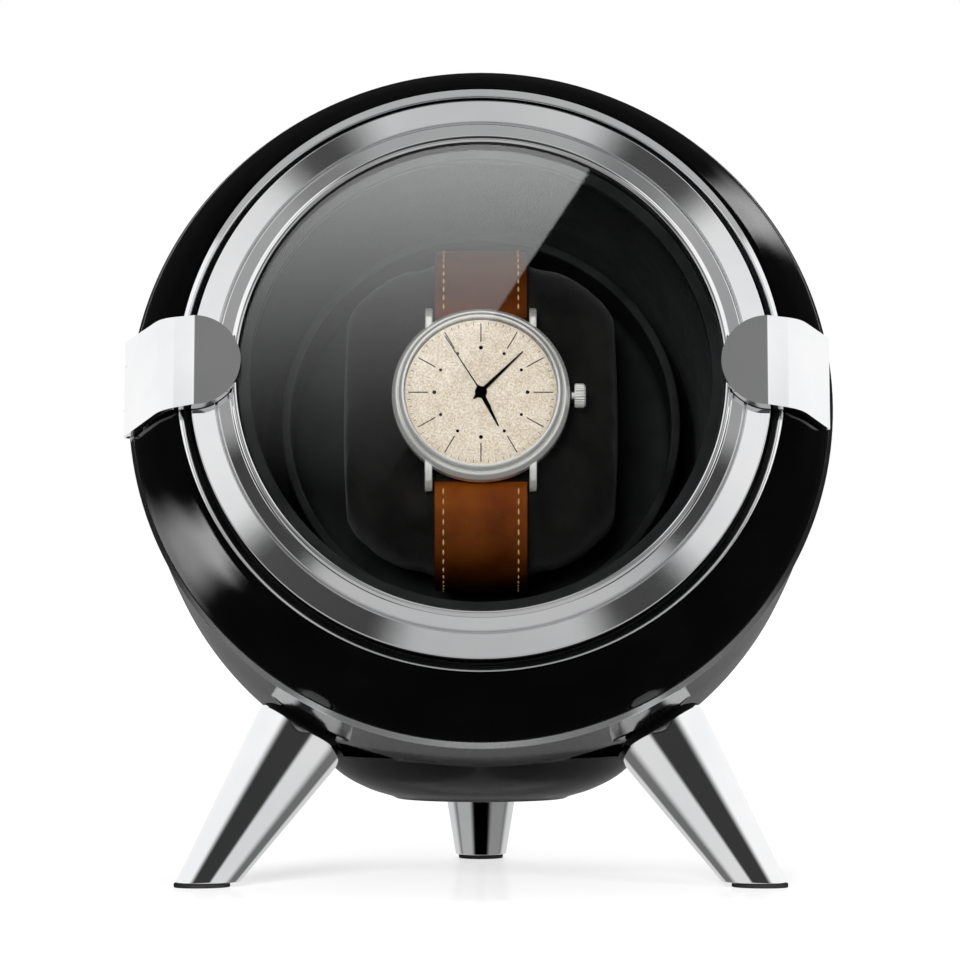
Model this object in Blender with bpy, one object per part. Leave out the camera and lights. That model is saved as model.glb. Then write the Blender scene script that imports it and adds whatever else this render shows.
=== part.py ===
"""Watch winder: a tilted ball on three legs, with a round glass door and a turning cup for one watch.

Sizes are in millimetres and scaled by MM when a mesh or a place is made. The head frame has its
origin at the centre of the seam between the two shells, Z out of the window, Y up the face and X
to the right. The world frame has +Z up, the window towards -Y and its origin under the middle.
"""

import math

import bmesh
import bpy
from mathutils import Matrix, Vector

MM = 0.001
GAP = 0.3
FINE, MEDIUM, COARSE, HOLE = 32, 18, 12, 10

# Head: the ball and its seam
TILT = 16.5
SEAM_Y, SEAM_Z = -35.4, 102.8
SEAM_RADIUS = 75.3
BALL_RADIUS, BALL_SETBACK = 72.5, 37.0
WALL = 2.8

# Window mouth and door
MOUTH_RADIUS, MOUTH_TOP = 64.4, 22.0
SHELF_TOP, SHELF_BOTTOM, SHELF_RADIUS = 19.4, 17.6, 58.2
DOOR_RADIUS, RIDGE_RADIUS, WINDOW_RADIUS = 61.5, 57.2, 51.6
DOOR_EDGE_TOP, RIDGE_TOP, WINDOW_TOP = 22.6, 23.4, 24.5
DOOR_BACK, DOOR_FLANGE = 18.5, 20.7
GLASS_TOP, GLASS_BOTTOM = 24.2, 21.4

# Hinge and pull tab
HINGE_X, HINGE_HEIGHT = -74.6, 4.0
BRACKET_Y, BRACKET_WIDTH = 2.5, 9.8
BARREL_RADIUS, PIN_RADIUS, BORE_RADIUS = 1.5, 0.75, 0.95
KNUCKLE_SPLIT, KNUCKLE_END = 4.7, 10.2

# Well, cup and drive, along the head's axis
LINER_FLOOR = -34.0
CUP_RADIUS, CUP_RIM, CUP_FLOOR, CUP_BACK = 43.0, -12.0, -29.3, -31.5
SHAFT_RADIUS, SHAFT_BACK = 4.0, -59.0
PLATE_FRONT, PLATE_BACK, PLATE_RADIUS = -39.0, -41.5, 68.2
LEDGE_RADIUS = 62.5
BRIDGE_FRONT, BRIDGE_BACK, BRIDGE_RADIUS = -53.0, -55.5, 50.0
MODULE, GEAR_TEETH, PINION_TEETH = 1.0, 60, 12
GEAR_FRONT, GEAR_BACK = -44.0, -49.0
MOTOR_Y = MODULE * (GEAR_TEETH + PINION_TEETH) / 2

# Back panel, round the rear pole
PANEL_FACE, PANEL_RADIUS, PANEL_THICKNESS = -103.0, 27.9, 1.9
PANEL_INNER = PANEL_FACE + PANEL_THICKNESS
KNOB_X, KNOB_Y = -11.5, 4.0
ROCKER_X, ROCKER_Y, ROCKER_TILT = 10.5, 3.0, 7.0
JACK_X, JACK_Y = -2.0, -15.0
PANEL_SCREW_RADIUS = 25.2

# Base and legs
BASE_HEIGHT, BASE_FLAT, BASE_RADIUS = 17.3, 19.6, 35.5
FOOT_CIRCLE = 69.0
LEG_TOP_RADIUS, LEG_FOOT_RADIUS, LEG_END = 10.4, 5.5, 74.9
STUD_RADIUS = 3.0
PAD_HEIGHT = 0.8
LEG_TURNS = {"left": 210.0, "right": 330.0, "rear": 90.0}

# Watch on its cushion
LOOP_CENTRE, LOOP_POWER = -10.2, 2.6
CUSHION_HEIGHT, CUSHION_DEPTH, CUSHION_WIDTH = 33.8, 14.2, 30.0
STRAP_HEIGHT, STRAP_DEPTH, STRAP_THICKNESS, STRAP_WIDTH = 36.3, 17.2, 2.2, 9.9
CASE_RADIUS, CASE_BACK, CASE_FRONT = 19.0, 4.6, 12.6
LUG_INNER, LUG_OUTER = 10.3, 12.6
DIAL_FLOOR = 10.2
CROWN_HEIGHT = 8.4
MINUTE_TURN, HOUR_TURN, SECOND_TURN = 45.0, 153.75, 328.0


def clear_scene():
    for item in list(bpy.data.objects):
        bpy.data.objects.remove(item, do_unlink=True)


def finish(name, colour, roughness, metallic=0.0):
    made = bpy.data.materials.new(name)
    made.use_nodes = True
    shader = made.node_tree.nodes["Principled BSDF"]
    shader.inputs["Base Color"].default_value = (*colour, 1.0)
    shader.inputs["Roughness"].default_value = roughness
    shader.inputs["Metallic"].default_value = metallic
    made.diffuse_color = (*colour, 1.0)
    return made


def make_frame(name, place, turn, parent=None):
    """An empty at a place in millimetres, turned by angles in radians."""
    frame = bpy.data.objects.new(name, None)
    frame.location = Vector(place) * MM
    frame.rotation_euler = turn
    frame.parent = parent
    bpy.context.collection.objects.link(frame)
    return frame


def make_object(name, shape, colour_of, parent=None, place=(0, 0, 0), turn=(0, 0, 0)):
    """Turns a bmesh in millimetres into a named object with one material."""
    bmesh.ops.recalc_face_normals(shape, faces=shape.faces)
    bmesh.ops.scale(shape, vec=(MM, MM, MM), verts=shape.verts)
    mesh = bpy.data.meshes.new(name)
    shape.to_mesh(mesh)
    shape.free()
    mesh.shade_smooth()
    mesh.set_sharp_from_angle(angle=math.radians(35))
    if colour_of is not None:
        mesh.materials.append(colour_of)
    made = bpy.data.objects.new(name, mesh)
    made.location = Vector(place) * MM
    made.rotation_euler = turn
    made.parent = parent
    bpy.context.collection.objects.link(made)
    return made


def combine(target, other, operation):
    """Adds an exact Boolean with a hidden helper object."""
    other.hide_render = True
    other.display_type = "WIRE"
    step = target.modifiers.new(operation.lower(), "BOOLEAN")
    step.operation = operation
    step.object = other
    step.solver = "EXACT"


def arc(centre, radius, start, end, steps):
    """Points on a circle between two angles in degrees, both ends included."""
    turns = (math.radians(start + (end - start) * i / steps) for i in range(steps + 1))
    return [(centre[0] + radius * math.cos(t), centre[1] + radius * math.sin(t)) for t in turns]


def lathe(profile, segments, centre=(0.0, 0.0)):
    """Turns (radius, height) points about Z. A profile off the axis is closed into a ring."""
    shape = bmesh.new()
    rings = []
    for radius, height in profile:
        if radius == 0:
            rings.append([shape.verts.new((*centre, height))] * segments)
            continue
        circle = arc(centre, radius, 0, 360 - 360 / segments, segments - 1)
        rings.append([shape.verts.new((x, y, height)) for x, y in circle])
    pairs = list(zip(rings, rings[1:]))
    if profile[0][0] > 0:
        pairs.append((rings[-1], rings[0]))
    for first, second in pairs:
        for i in range(segments):
            j = (i + 1) % segments
            corners = list(dict.fromkeys([first[i], first[j], second[j], second[i]]))
            if len(corners) > 2:
                shape.faces.new(corners)
    return shape


def rod(radius, low, high, segments=COARSE, centre=(0.0, 0.0)):
    return lathe([(0, low), (radius, low), (radius, high), (0, high)], segments, centre)


def prism(outline, low, high, across="z"):
    """Extrudes an outline along one axis. The outline's two coordinates are the other two, in order."""
    places = {
        "x": lambda u, v, w: (w, u, v),
        "y": lambda u, v, w: (u, w, v),
        "z": lambda u, v, w: (u, v, w),
    }
    shape = bmesh.new()
    bottom = [shape.verts.new(places[across](u, v, low)) for u, v in outline]
    top = [shape.verts.new(places[across](u, v, high)) for u, v in outline]
    shape.faces.new(bottom)
    shape.faces.new(top)
    for i, start in enumerate(bottom):
        j = (i + 1) % len(bottom)
        shape.faces.new((start, bottom[j], top[j], top[i]))
    return shape


def block(low, high):
    corners = [(low[0], low[1]), (high[0], low[1]), (high[0], high[1]), (low[0], high[1])]
    return prism(corners, low[2], high[2])


def rectangle(centre_x, centre_y, half_x, half_y):
    return [
        (centre_x - half_x, centre_y - half_y),
        (centre_x + half_x, centre_y - half_y),
        (centre_x + half_x, centre_y + half_y),
        (centre_x - half_x, centre_y + half_y),
    ]


def superellipse(half_u, half_v, turn, centre_v=0.0):
    """The point at an angle on a rounded box of power LOOP_POWER."""
    cos, sin = math.cos(turn), math.sin(turn)
    u = math.copysign(abs(cos) ** (2 / LOOP_POWER), cos) * half_u
    v = math.copysign(abs(sin) ** (2 / LOOP_POWER), sin) * half_v
    return u, v + centre_v


def screw(name, head_radius, head_height, shaft_radius, length, colour_of, parent, place, turn=(0, 0, 0)):
    """A screw whose head's underside is at the place, pointing down its own -Z."""
    profile = [
        (0, head_height),
        (head_radius, head_height),
        (head_radius, 0),
        (shaft_radius, 0),
        (shaft_radius, -length),
        (0, -length),
    ]
    return make_object(name, lathe(profile, COARSE), colour_of, parent, place, turn)


def make_materials():
    return {
        "piano_black": finish("piano_black", (0.008, 0.008, 0.009), 0.06),
        "chrome": finish("chrome", (0.86, 0.87, 0.88), 0.06, 1.0),
        "trim_silver": finish("trim_silver", (0.52, 0.53, 0.54), 0.3, 1.0),
        "black_plastic": finish("black_plastic", (0.02, 0.02, 0.02), 0.5),
        "rubber": finish("rubber", (0.015, 0.015, 0.015), 0.8),
        "glass": finish("glass", (0.9, 0.93, 0.93), 0.02),
        "lining": finish("lining", (0.01, 0.01, 0.011), 0.9),
        "suede": finish("suede", (0.03, 0.028, 0.027), 0.85),
        "steel": finish("steel", (0.62, 0.62, 0.63), 0.25, 1.0),
        "bronze": finish("bronze", (0.6, 0.4, 0.2), 0.35, 1.0),
        "gear_plastic": finish("gear_plastic", (0.82, 0.8, 0.74), 0.5),
        "circuit": finish("circuit", (0.02, 0.16, 0.07), 0.45),
        "dial_cream": finish("dial_cream", (0.72, 0.65, 0.53), 0.5),
        "hand_dark": finish("hand_dark", (0.03, 0.02, 0.02), 0.3, 0.6),
        "strap_leather": finish("strap_leather", (0.36, 0.13, 0.03), 0.6),
    }


def make_front_shell(head, look):
    outer = [(74.9, 1.3), (73.7, 5.5), (71.6, 10.5), (68.8, 16.0), (65.2, 21.4)]
    mouth = [(MOUTH_RADIUS, MOUTH_TOP), (MOUTH_RADIUS, SHELF_TOP), (SHELF_RADIUS, SHELF_TOP)]
    inner = [(SHELF_RADIUS, SHELF_BOTTOM), (63.6, SHELF_BOTTOM), (68.4, 10.0), (71.3, 1.3)]
    shell = make_object("front_shell", lathe(outer + mouth + inner, FINE), look["piano_black"], head)
    pocket = [(-79.0, 0.5), (-72.4, 0.5), (-71.8, 4.0), (-68.0, 12.5), (-74.0, 15.5), (-79.0, 15.5)]
    low, high = BRACKET_Y - 10.6, BRACKET_Y + 10.6
    combine(shell, make_object("hinge_pocket", prism(pocket, low, high, "y"), None, head), "DIFFERENCE")
    seat = make_object("magnet_seat", rod(4.3, -2.2, 6.0, 16), None, *magnet_place(head))
    combine(shell, seat, "DIFFERENCE")


def magnet_place(head):
    """Parent, place and turn of the latch magnet, square to the shell under the pull tab."""
    return head, (70.6, BRACKET_Y, 12.0), (0, math.radians(62), 0)


def make_seam_and_mouth(head, look):
    mouth = [(62.7, 19.7), (64.1, 19.7), (64.1, 22.4), (63.4, 22.6), (62.7, 21.5)]
    make_object("mouth_ring", lathe(mouth, FINE), look["trim_silver"], head)
    seal = [(58.7, 19.7), (61.2, 19.7), (61.0, 20.3), (58.9, 20.3)]
    make_object("door_gasket", lathe(seal, FINE), look["rubber"], head)
    trim = [(71.8, -0.9), (74.9, -0.9), (SEAM_RADIUS, -0.4), (SEAM_RADIUS, 0.5), (74.9, 1.0), (71.8, 1.0)]
    make_object("trim_ring", lathe(trim, FINE), look["trim_silver"], head)


def ball_arc(radius, first_height, last_height, steps):
    """Profile points on a ball centred behind the seam, from one height to another."""
    start = math.degrees(math.asin((first_height + BALL_SETBACK) / radius))
    end = math.degrees(math.asin((last_height + BALL_SETBACK) / radius))
    return arc((0, -BALL_SETBACK), radius, start, end, steps)


def rear_outline():
    """The rear shell's outer side, from the seam back to the edge of the back panel."""
    return [(74.6, -1.2), (73.8, -14.0)] + ball_arc(BALL_RADIUS, -BALL_SETBACK, PANEL_FACE, 7)


def make_rear_shell(head, ball, look):
    opening = [(28.2, PANEL_FACE), (28.2, -100.8), (22.5, -100.8), (22.5, -98.6)]
    inner = ball_arc(BALL_RADIUS - WALL, -98.6, -48.5, 4)
    ledge = [(LEDGE_RADIUS, -44.5), (LEDGE_RADIUS, -41.8), (69.6, -41.8)]
    front = [(70.8, -14.0), (71.6, -1.2)]
    profile = rear_outline() + opening + inner + ledge + front
    shell = make_object("rear_shell", lathe(profile, FINE), look["piano_black"], head)
    combine(shell, make_base_foot(head, ball), "UNION")
    for side in LEG_TURNS:
        drill = rod(STUD_RADIUS + GAP, LEG_END - 15, LEG_END + 5)
        hole = make_object(f"stud_hole_{side}", drill, None, ball, turn=leg_turn(side))
        combine(shell, hole, "DIFFERENCE")


def make_base_foot(head, ball):
    """The dished flat under the ball, moulded with the rear shell and hollow on the same inner side."""
    drop = BASE_HEIGHT - ball_height()
    flare = [(BASE_FLAT, drop), (29.0, drop + 5.2), (BASE_RADIUS, drop + 10.0)]
    foot = make_object("base_foot", lathe([(0, drop), *flare, (0, drop + 10.0)], 24), None, ball)
    front, back, core_radius = -20.0, -98.6, BALL_RADIUS - WALL / 2
    core = [(0, front), (72.0, front), *ball_arc(core_radius, -BALL_SETBACK, back, 5), (0, back)]
    combine(foot, make_object("base_core", lathe(core, FINE), None, head), "DIFFERENCE")
    return foot


def ball_height():
    return SEAM_Z - BALL_SETBACK * math.sin(math.radians(TILT))


def ball_place():
    return 0.0, SEAM_Y + BALL_SETBACK * math.cos(math.radians(TILT)), ball_height()


def leg_splay():
    return math.atan2(FOOT_CIRCLE, ball_height())


def leg_turn(side):
    """The turn that points an object's Z from the ball's centre down one leg."""
    return 0.0, math.pi - leg_splay(), math.radians(LEG_TURNS[side])


def make_leg(side, ball, look):
    turn = leg_turn(side)
    tilt = Matrix.Rotation(turn[2], 3, "Z") @ Matrix.Rotation(turn[1], 3, "Y")
    foot = math.hypot(FOOT_CIRCLE, ball_height())
    slope = (LEG_TOP_RADIUS - LEG_FOOT_RADIUS) / (foot - LEG_END)
    past = 8.0
    profile = [
        (0, LEG_END - 10.5),
        (STUD_RADIUS, LEG_END - 10.5),
        (STUD_RADIUS, LEG_END),
        (LEG_TOP_RADIUS - 0.9, LEG_END),
        (LEG_TOP_RADIUS, LEG_END + 0.9),
        (LEG_FOOT_RADIUS - slope * past, foot + past),
        (0, foot + past),
    ]
    shape = lathe(profile, MEDIUM)
    floor = tilt.inverted() @ Vector((0, 0, PAD_HEIGHT + GAP - ball_height()))
    everything = shape.verts[:] + shape.edges[:] + shape.faces[:]
    up = tilt.inverted() @ Vector((0, 0, -1))
    cut = bmesh.ops.bisect_plane(shape, geom=everything, plane_co=floor, plane_no=up, clear_outer=True)
    rim = [edge for edge in cut["geom_cut"] if isinstance(edge, bmesh.types.BMEdge)]
    bmesh.ops.contextual_create(shape, geom=rim)
    make_object(f"leg_{side}", shape, look["chrome"], ball, turn=turn)
    washer = [(3.4, 73.85), (7.0, 73.85), (7.2, 74.6), (3.4, 74.6)]
    make_object(f"leg_washer_{side}", lathe(washer, MEDIUM), look["rubber"], ball, turn=turn)
    outward = math.radians(LEG_TURNS[side])
    place = (FOOT_CIRCLE * math.cos(outward), FOOT_CIRCLE * math.sin(outward), -ball_height())
    pad = rod(LEG_FOOT_RADIUS - 0.6, 0, PAD_HEIGHT, MEDIUM)
    bmesh.ops.scale(pad, vec=(1 / math.cos(leg_splay()), 1, 1), verts=pad.verts)
    make_object(f"foot_pad_{side}", pad, look["rubber"], ball, place, (0, 0, outward))


def make_interior(head, look):
    liner = [(56.8, 17.3), (63.0, 17.3), (63.0, 16.2), (57.8, 16.0), (48.0, LINER_FLOOR - 1.5)]
    liner += [(6.0, LINER_FLOOR - 1.5), (6.0, LINER_FLOOR), (46.5, LINER_FLOOR)]
    make_object("liner", lathe(liner, FINE), look["lining"], head)
    plate = [(7.3, PLATE_FRONT), (PLATE_RADIUS, PLATE_FRONT), (PLATE_RADIUS, PLATE_BACK), (7.3, PLATE_BACK)]
    plate = make_object("motor_plate", lathe(plate, FINE), look["black_plastic"], head)
    for i, turn in enumerate((90, 210, 330)):
        x, y = arc((0, 0), 65.5, turn, turn, 1)[0]
        hole = make_object(f"plate_hole_{i + 1}", rod(1.5, -44, -36, HOLE, (x, y)), None, head)
        combine(plate, hole, "DIFFERENCE")
        screw_place = (x, y, PLATE_FRONT + GAP)
        screw(f"plate_screw_{i + 1}", 2.6, 1.6, 1.1, 2.9, look["steel"], head, screw_place)
    bore = SHAFT_RADIUS + 0.08
    bush = [(bore, 0), (7.0, 0), (7.0, 3.0), (8.6, 3.0), (8.6, 4.4), (bore, 4.4)]
    make_object("front_bearing", lathe(bush, MEDIUM), look["bronze"], head, (0, 0, PLATE_BACK + GAP - 0.6))
    flip = (math.pi, 0, 0)
    make_object("rear_bearing", lathe(bush, MEDIUM), look["bronze"], head, (0, 0, BRIDGE_FRONT + 0.2), flip)


def make_bridge(head, look):
    front, back = BRIDGE_FRONT, BRIDGE_BACK
    disc = [(7.3, front), (BRIDGE_RADIUS, front), (BRIDGE_RADIUS, back), (7.3, back)]
    bridge = make_object("bridge_plate", lathe(disc, FINE), look["black_plastic"], head)
    for i, turn in enumerate((30, 150, 270)):
        spot = arc((0, 0), 44.5, turn, turn, 1)[0]
        post = make_object(f"post_{i + 1}", rod(3.2, -54, PLATE_BACK - GAP, COARSE, spot), None, head)
        combine(bridge, post, "UNION")
    hole = make_object("pinion_hole", rod(3.2, -60, -50, COARSE, (0, MOTOR_Y)), None, head)
    combine(bridge, hole, "DIFFERENCE")


def gear_outline(teeth, phase):
    """Trapezoid teeth with backlash, the first tooth at an angle in tooth pitches from +Y."""
    pitch_radius = MODULE * teeth / 2
    root, tip = pitch_radius - 1.15 * MODULE, pitch_radius + 0.85 * MODULE
    pitch = 2 * math.pi / teeth
    points = []
    for tooth in range(teeth):
        middle = (tooth + phase) * pitch + math.pi / 2
        for radius, offset in ((root, -0.27), (tip, -0.11), (tip, 0.11), (root, 0.27)):
            turn = middle + offset * pitch
            points.append((radius * math.cos(turn), radius * math.sin(turn)))
    return points


def make_drive(head, look):
    profile = [
        (0, CUP_BACK - GAP),
        (9.0, CUP_BACK - GAP),
        (9.0, CUP_BACK - 1.6),
        (SHAFT_RADIUS, CUP_BACK - 1.6),
        (SHAFT_RADIUS, SHAFT_BACK),
        (0, SHAFT_BACK),
    ]
    make_object("rotor_shaft", lathe(profile, MEDIUM), look["steel"], head)
    wheel = prism(gear_outline(GEAR_TEETH, 0.0), GEAR_BACK, GEAR_FRONT)
    gear = make_object("rotor_gear", wheel, look["gear_plastic"], head)
    bore = rod(SHAFT_RADIUS + GAP, GEAR_BACK - 2, GEAR_FRONT + 2, MEDIUM)
    combine(gear, make_object("gear_bore", bore, None, head), "DIFFERENCE")
    facing_gap = PINION_TEETH / 2 + 0.5
    teeth = prism(gear_outline(PINION_TEETH, facing_gap), GEAR_BACK - 0.2, GEAR_FRONT + 0.2)
    pinion = make_object("motor_pinion", teeth, look["gear_plastic"], head, (0, MOTOR_Y, 0))
    stub = make_object("pinion_stub", rod(2.2, -58, GEAR_BACK + 1), None, head, (0, MOTOR_Y, 0))
    combine(pinion, stub, "UNION")
    mount = BRIDGE_BACK - GAP
    gearbox = [(0, -60.5), (2.6, -60.5), (2.6, mount), (12.0, mount), (12.0, -67.0), (0, -67.0)]
    make_object("gearhead", lathe(gearbox, MEDIUM), look["steel"], head, (0, MOTOR_Y, 0))
    can = [(0, -67.3), (10.0, -67.3), (10.0, -80.0), (9.0, -81.0), (3.0, -81.0), (3.0, -82.5), (0, -82.5)]
    make_object("motor_can", lathe(can, MEDIUM), look["steel"], head, (0, MOTOR_Y, 0))
    cup = [(0, CUP_FLOOR), (40.0, CUP_FLOOR), (41.0, -27.5), (41.0, CUP_RIM), (CUP_RADIUS, CUP_RIM)]
    cup += [(CUP_RADIUS, -29.0), (41.0, CUP_BACK), (0, CUP_BACK)]
    make_object("rotor_cup", lathe(cup, FINE), look["black_plastic"], head)


def make_back_panel(head, look):
    disc = [(0, PANEL_INNER), (PANEL_RADIUS, PANEL_INNER), (PANEL_RADIUS, PANEL_FACE), (0, PANEL_FACE)]
    panel = make_object("rear_panel", lathe(disc, FINE), look["black_plastic"], head)
    below, above = PANEL_FACE - 4, PANEL_INNER + 4
    knob_hole = make_object("knob_hole", rod(3.2, below, above, COARSE, (KNOB_X, KNOB_Y)), None, head)
    jack_hole = make_object("jack_hole", rod(5.9, below, above, MEDIUM, (JACK_X, JACK_Y)), None, head)
    cutout = prism(rectangle(ROCKER_X, ROCKER_Y, 6.8, 9.8), below, above)
    combine(panel, knob_hole, "DIFFERENCE")
    combine(panel, jack_hole, "DIFFERENCE")
    combine(panel, make_object("rocker_hole", cutout, None, head), "DIFFERENCE")
    for i, turn in enumerate((90, 210, 330)):
        x, y = arc((0, 0), PANEL_SCREW_RADIUS, turn, turn, 1)[0]
        hole = make_object(f"panel_hole_{i + 1}", rod(1.4, below, above, HOLE, (x, y)), None, head)
        combine(panel, hole, "DIFFERENCE")
        place = (x, y, PANEL_FACE - GAP)
        screw(f"panel_screw_{i + 1}", 2.0, 1.2, 1.1, 2.2, look["steel"], head, place, (math.pi, 0, 0))


def make_controls(head, look):
    board = block((-23, -22, -89.6), (23, 18, -88.0))
    make_object("control_board", board, look["circuit"], head)
    spot = (KNOB_X, KNOB_Y, 0)
    can = block((-7, -7, -100.8), (7, 7, -90.0))
    selector = make_object("selector_switch", can, look["black_plastic"], head, spot)
    bore = make_object("selector_bore", rod(2.9, -103, -94), None, head, spot)
    combine(selector, bore, "DIFFERENCE")
    stem, grip = [(0, -95.5), (2.4, -95.5)], [(8.0, -109.0), (7.3, -110.5), (0, -110.5)]
    knob = [*stem, (2.4, -103.5), (8.0, -103.5), *grip]
    make_object("mode_knob", lathe(knob, MEDIUM), look["black_plastic"], head, spot)
    body = prism(rectangle(ROCKER_X, ROCKER_Y, 6.4, 9.4), -104.0, -92.0)
    housing = make_object("switch_housing", body, look["black_plastic"], head)
    flange = prism(rectangle(ROCKER_X, ROCKER_Y, 7.5, 10.5), -104.6, PANEL_FACE - GAP)
    recess = prism(rectangle(ROCKER_X, ROCKER_Y, 5.4, 8.8), -106.0, -99.0)
    combine(housing, make_object("switch_flange", flange, None, head), "UNION")
    combine(housing, make_object("switch_recess", recess, None, head), "DIFFERENCE")
    paddle = [(-8.2, -1.2), (8.2, -1.2), (8.2, 1.9), (0.0, 1.2), (-8.2, 1.9)]
    turn = (math.pi + math.radians(ROCKER_TILT), 0, 0)
    place = (ROCKER_X, ROCKER_Y, PANEL_FACE)
    make_object("power_rocker", prism(paddle, -5.0, 5.0, "x"), look["black_plastic"], head, place, turn)
    jack = [(0, -103.0), (1.0, -103.0), (1.0, -95.0), (3.2, -95.0), (3.2, -104.4), (6.5, -104.4)]
    jack += [(6.5, PANEL_FACE - GAP), (5.5, PANEL_FACE - GAP), (5.5, -92.0), (0, -92.0)]
    make_object("dc_jack", lathe(jack, MEDIUM), look["black_plastic"], head, (JACK_X, JACK_Y, 0))


def make_door(hinge, look):
    """Everything here is placed from the hinge axis, which the door turns about."""
    centre = (-HINGE_X, -BRACKET_Y, -HINGE_HEIGHT)
    ring = [
        (WINDOW_RADIUS, DOOR_BACK),
        (55.4, DOOR_BACK),
        (56.2, DOOR_FLANGE),
        (59.2, DOOR_FLANGE),
        (DOOR_RADIUS, 22.0),
        (DOOR_RADIUS, DOOR_EDGE_TOP),
        (RIDGE_RADIUS, RIDGE_TOP),
        (WINDOW_RADIUS, WINDOW_TOP),
    ]
    make_object("door_ring", lathe(ring, FINE), look["chrome"], hinge, centre)
    pane = [(0, GLASS_BOTTOM), (51.3, GLASS_BOTTOM), (51.3, GLASS_TOP), (0, GLASS_TOP)]
    make_object("door_glass", lathe(pane, FINE), look["glass"], hinge, centre)
    retainer = [(48.8, 18.8), (51.3, 18.8), (51.3, GLASS_BOTTOM - GAP), (48.8, GLASS_BOTTOM - GAP)]
    make_object("glass_retainer", lathe(retainer, FINE), look["black_plastic"], hinge, centre)


def bracket_outline(reach, end_half_width):
    """A strap seen from the front: a half round on the ring, widening to its outer end."""
    nose = arc((-60.4, BRACKET_Y), BRACKET_WIDTH, 90, -90, 12)
    return nose + [(reach, BRACKET_Y - end_half_width), (reach, BRACKET_Y + end_half_width)]


def make_hinge_arm(hinge, look):
    side = [
        (-50.0, 24.9),
        (-57.2, 23.8),
        (-61.5, 23.0),
        (-65.2, 23.0),
        (-66.5, 21.9),
        (-74.2, 5.2),
        (-73.9, 2.8),
        (-75.8, 2.9),
        (-76.1, 4.6),
        (-67.5, 23.2),
        (-60.4, 26.5),
        (-50.0, 26.3),
    ]
    place = (-HINGE_X, -BRACKET_Y, -HINGE_HEIGHT)
    low, high = BRACKET_Y - 12, BRACKET_Y + 12
    arm = make_object("hinge_arm", prism(side, low, high, "y"), look["chrome"], hinge, place)
    shape = make_object("arm_outline", prism(bracket_outline(-78, 10.6), 0, 30), None, hinge, place)
    combine(arm, shape, "INTERSECT")
    along = (math.radians(90), 0, 0)
    inner = KNUCKLE_SPLIT + GAP
    for low, high in ((inner, KNUCKLE_END), (-KNUCKLE_END, -inner)):
        knuckle = rod(BARREL_RADIUS, low, high)
        combine(arm, make_object(f"barrel_at_{low}", knuckle, None, hinge, turn=along), "UNION")
    bore = make_object("arm_bore", rod(BORE_RADIUS, -20, 20), None, hinge, turn=along)
    combine(arm, bore, "DIFFERENCE")
    room = make_object("leaf_room", rod(2.1, -inner, inner), None, hinge, turn=along)
    combine(arm, room, "DIFFERENCE")


def make_pull_tab(hinge, look):
    side = [
        (50.0, 24.9),
        (57.2, 23.8),
        (61.5, 23.0),
        (65.2, 23.0),
        (66.5, 21.9),
        (73.0, 8.2),
        (74.3, 8.5),
        (67.5, 23.2),
        (60.4, 26.5),
        (50.0, 26.3),
    ]
    place = (-HINGE_X, -BRACKET_Y, -HINGE_HEIGHT)
    strip = prism(side, BRACKET_Y - 12, BRACKET_Y + 12, "y")
    tab = make_object("pull_tab", strip, look["chrome"], hinge, place)
    outline = [(-x, y) for x, y in bracket_outline(-76, 10.2)]
    shape = make_object("tab_outline", prism(outline, 0, 30), None, hinge, place)
    combine(tab, shape, "INTERSECT")


def make_hinge_fixed(head, look):
    place = (HINGE_X, BRACKET_Y, HINGE_HEIGHT)
    leaf_side = [(0.3, -0.9), (1.8, -0.6), (2.4, 0.0), (6.2, 8.4), (5.3, 8.8), (1.2, 0.9)]
    plate = prism(leaf_side, -KNUCKLE_SPLIT, KNUCKLE_SPLIT, "y")
    leaf = make_object("hinge_leaf", plate, look["chrome"], head, place)
    along = (math.radians(90), 0, 0)
    knuckle = rod(BARREL_RADIUS, -KNUCKLE_SPLIT, KNUCKLE_SPLIT)
    barrel = make_object("leaf_barrel", knuckle, None, head, place, along)
    bore = make_object("leaf_bore", rod(BORE_RADIUS, -20, 20), None, head, place, along)
    combine(leaf, barrel, "UNION")
    combine(leaf, bore, "DIFFERENCE")
    make_object("hinge_pin", rod(PIN_RADIUS, -KNUCKLE_END, KNUCKLE_END), look["steel"], head, place, along)
    lean = (0, math.radians(-65), 0)
    for i, offset in enumerate((-2.5, 2.5)):
        spot = (HINGE_X + 3.17, BRACKET_Y + offset, HINGE_HEIGHT + 5.34)
        hole_place = (head, spot, lean)
        for target in (leaf, bpy.data.objects["front_shell"]):
            hole = make_object(f"{target.name}_screw_hole_{i + 1}", rod(0.9, -2.4, 2.0), None, *hole_place)
            combine(target, hole, "DIFFERENCE")
        screw(f"hinge_screw_{i + 1}", 1.2, 0.35, 0.6, 1.9, look["steel"], *hole_place)
    magnet_parent, spot, turn = magnet_place(head)
    make_object("latch_magnet", rod(4.0, -1.9, -0.1, 16), look["steel"], magnet_parent, spot, turn)


def make_cushion(watch, look):
    shape = bmesh.new()
    count = MEDIUM
    rings = []
    rounding = ((1.0, 0.72), (0.9, 0.9), (0.67, 1.0))
    sections = [(-share, size) for share, size in rounding] + [*reversed(rounding)]
    for share, size in sections:
        ring = []
        for i in range(count):
            y, z = superellipse(CUSHION_HEIGHT * size, CUSHION_DEPTH * size, 2 * math.pi * i / count)
            ring.append(shape.verts.new((share * CUSHION_WIDTH, y, z + LOOP_CENTRE)))
        rings.append(ring)
    for first, second in zip(rings, rings[1:]):
        for i in range(count):
            j = (i + 1) % count
            shape.faces.new((first[i], first[j], second[j], second[i]))
    shape.faces.new(rings[0])
    shape.faces.new(rings[-1])
    make_object("cushion", shape, look["suede"], watch)


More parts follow.
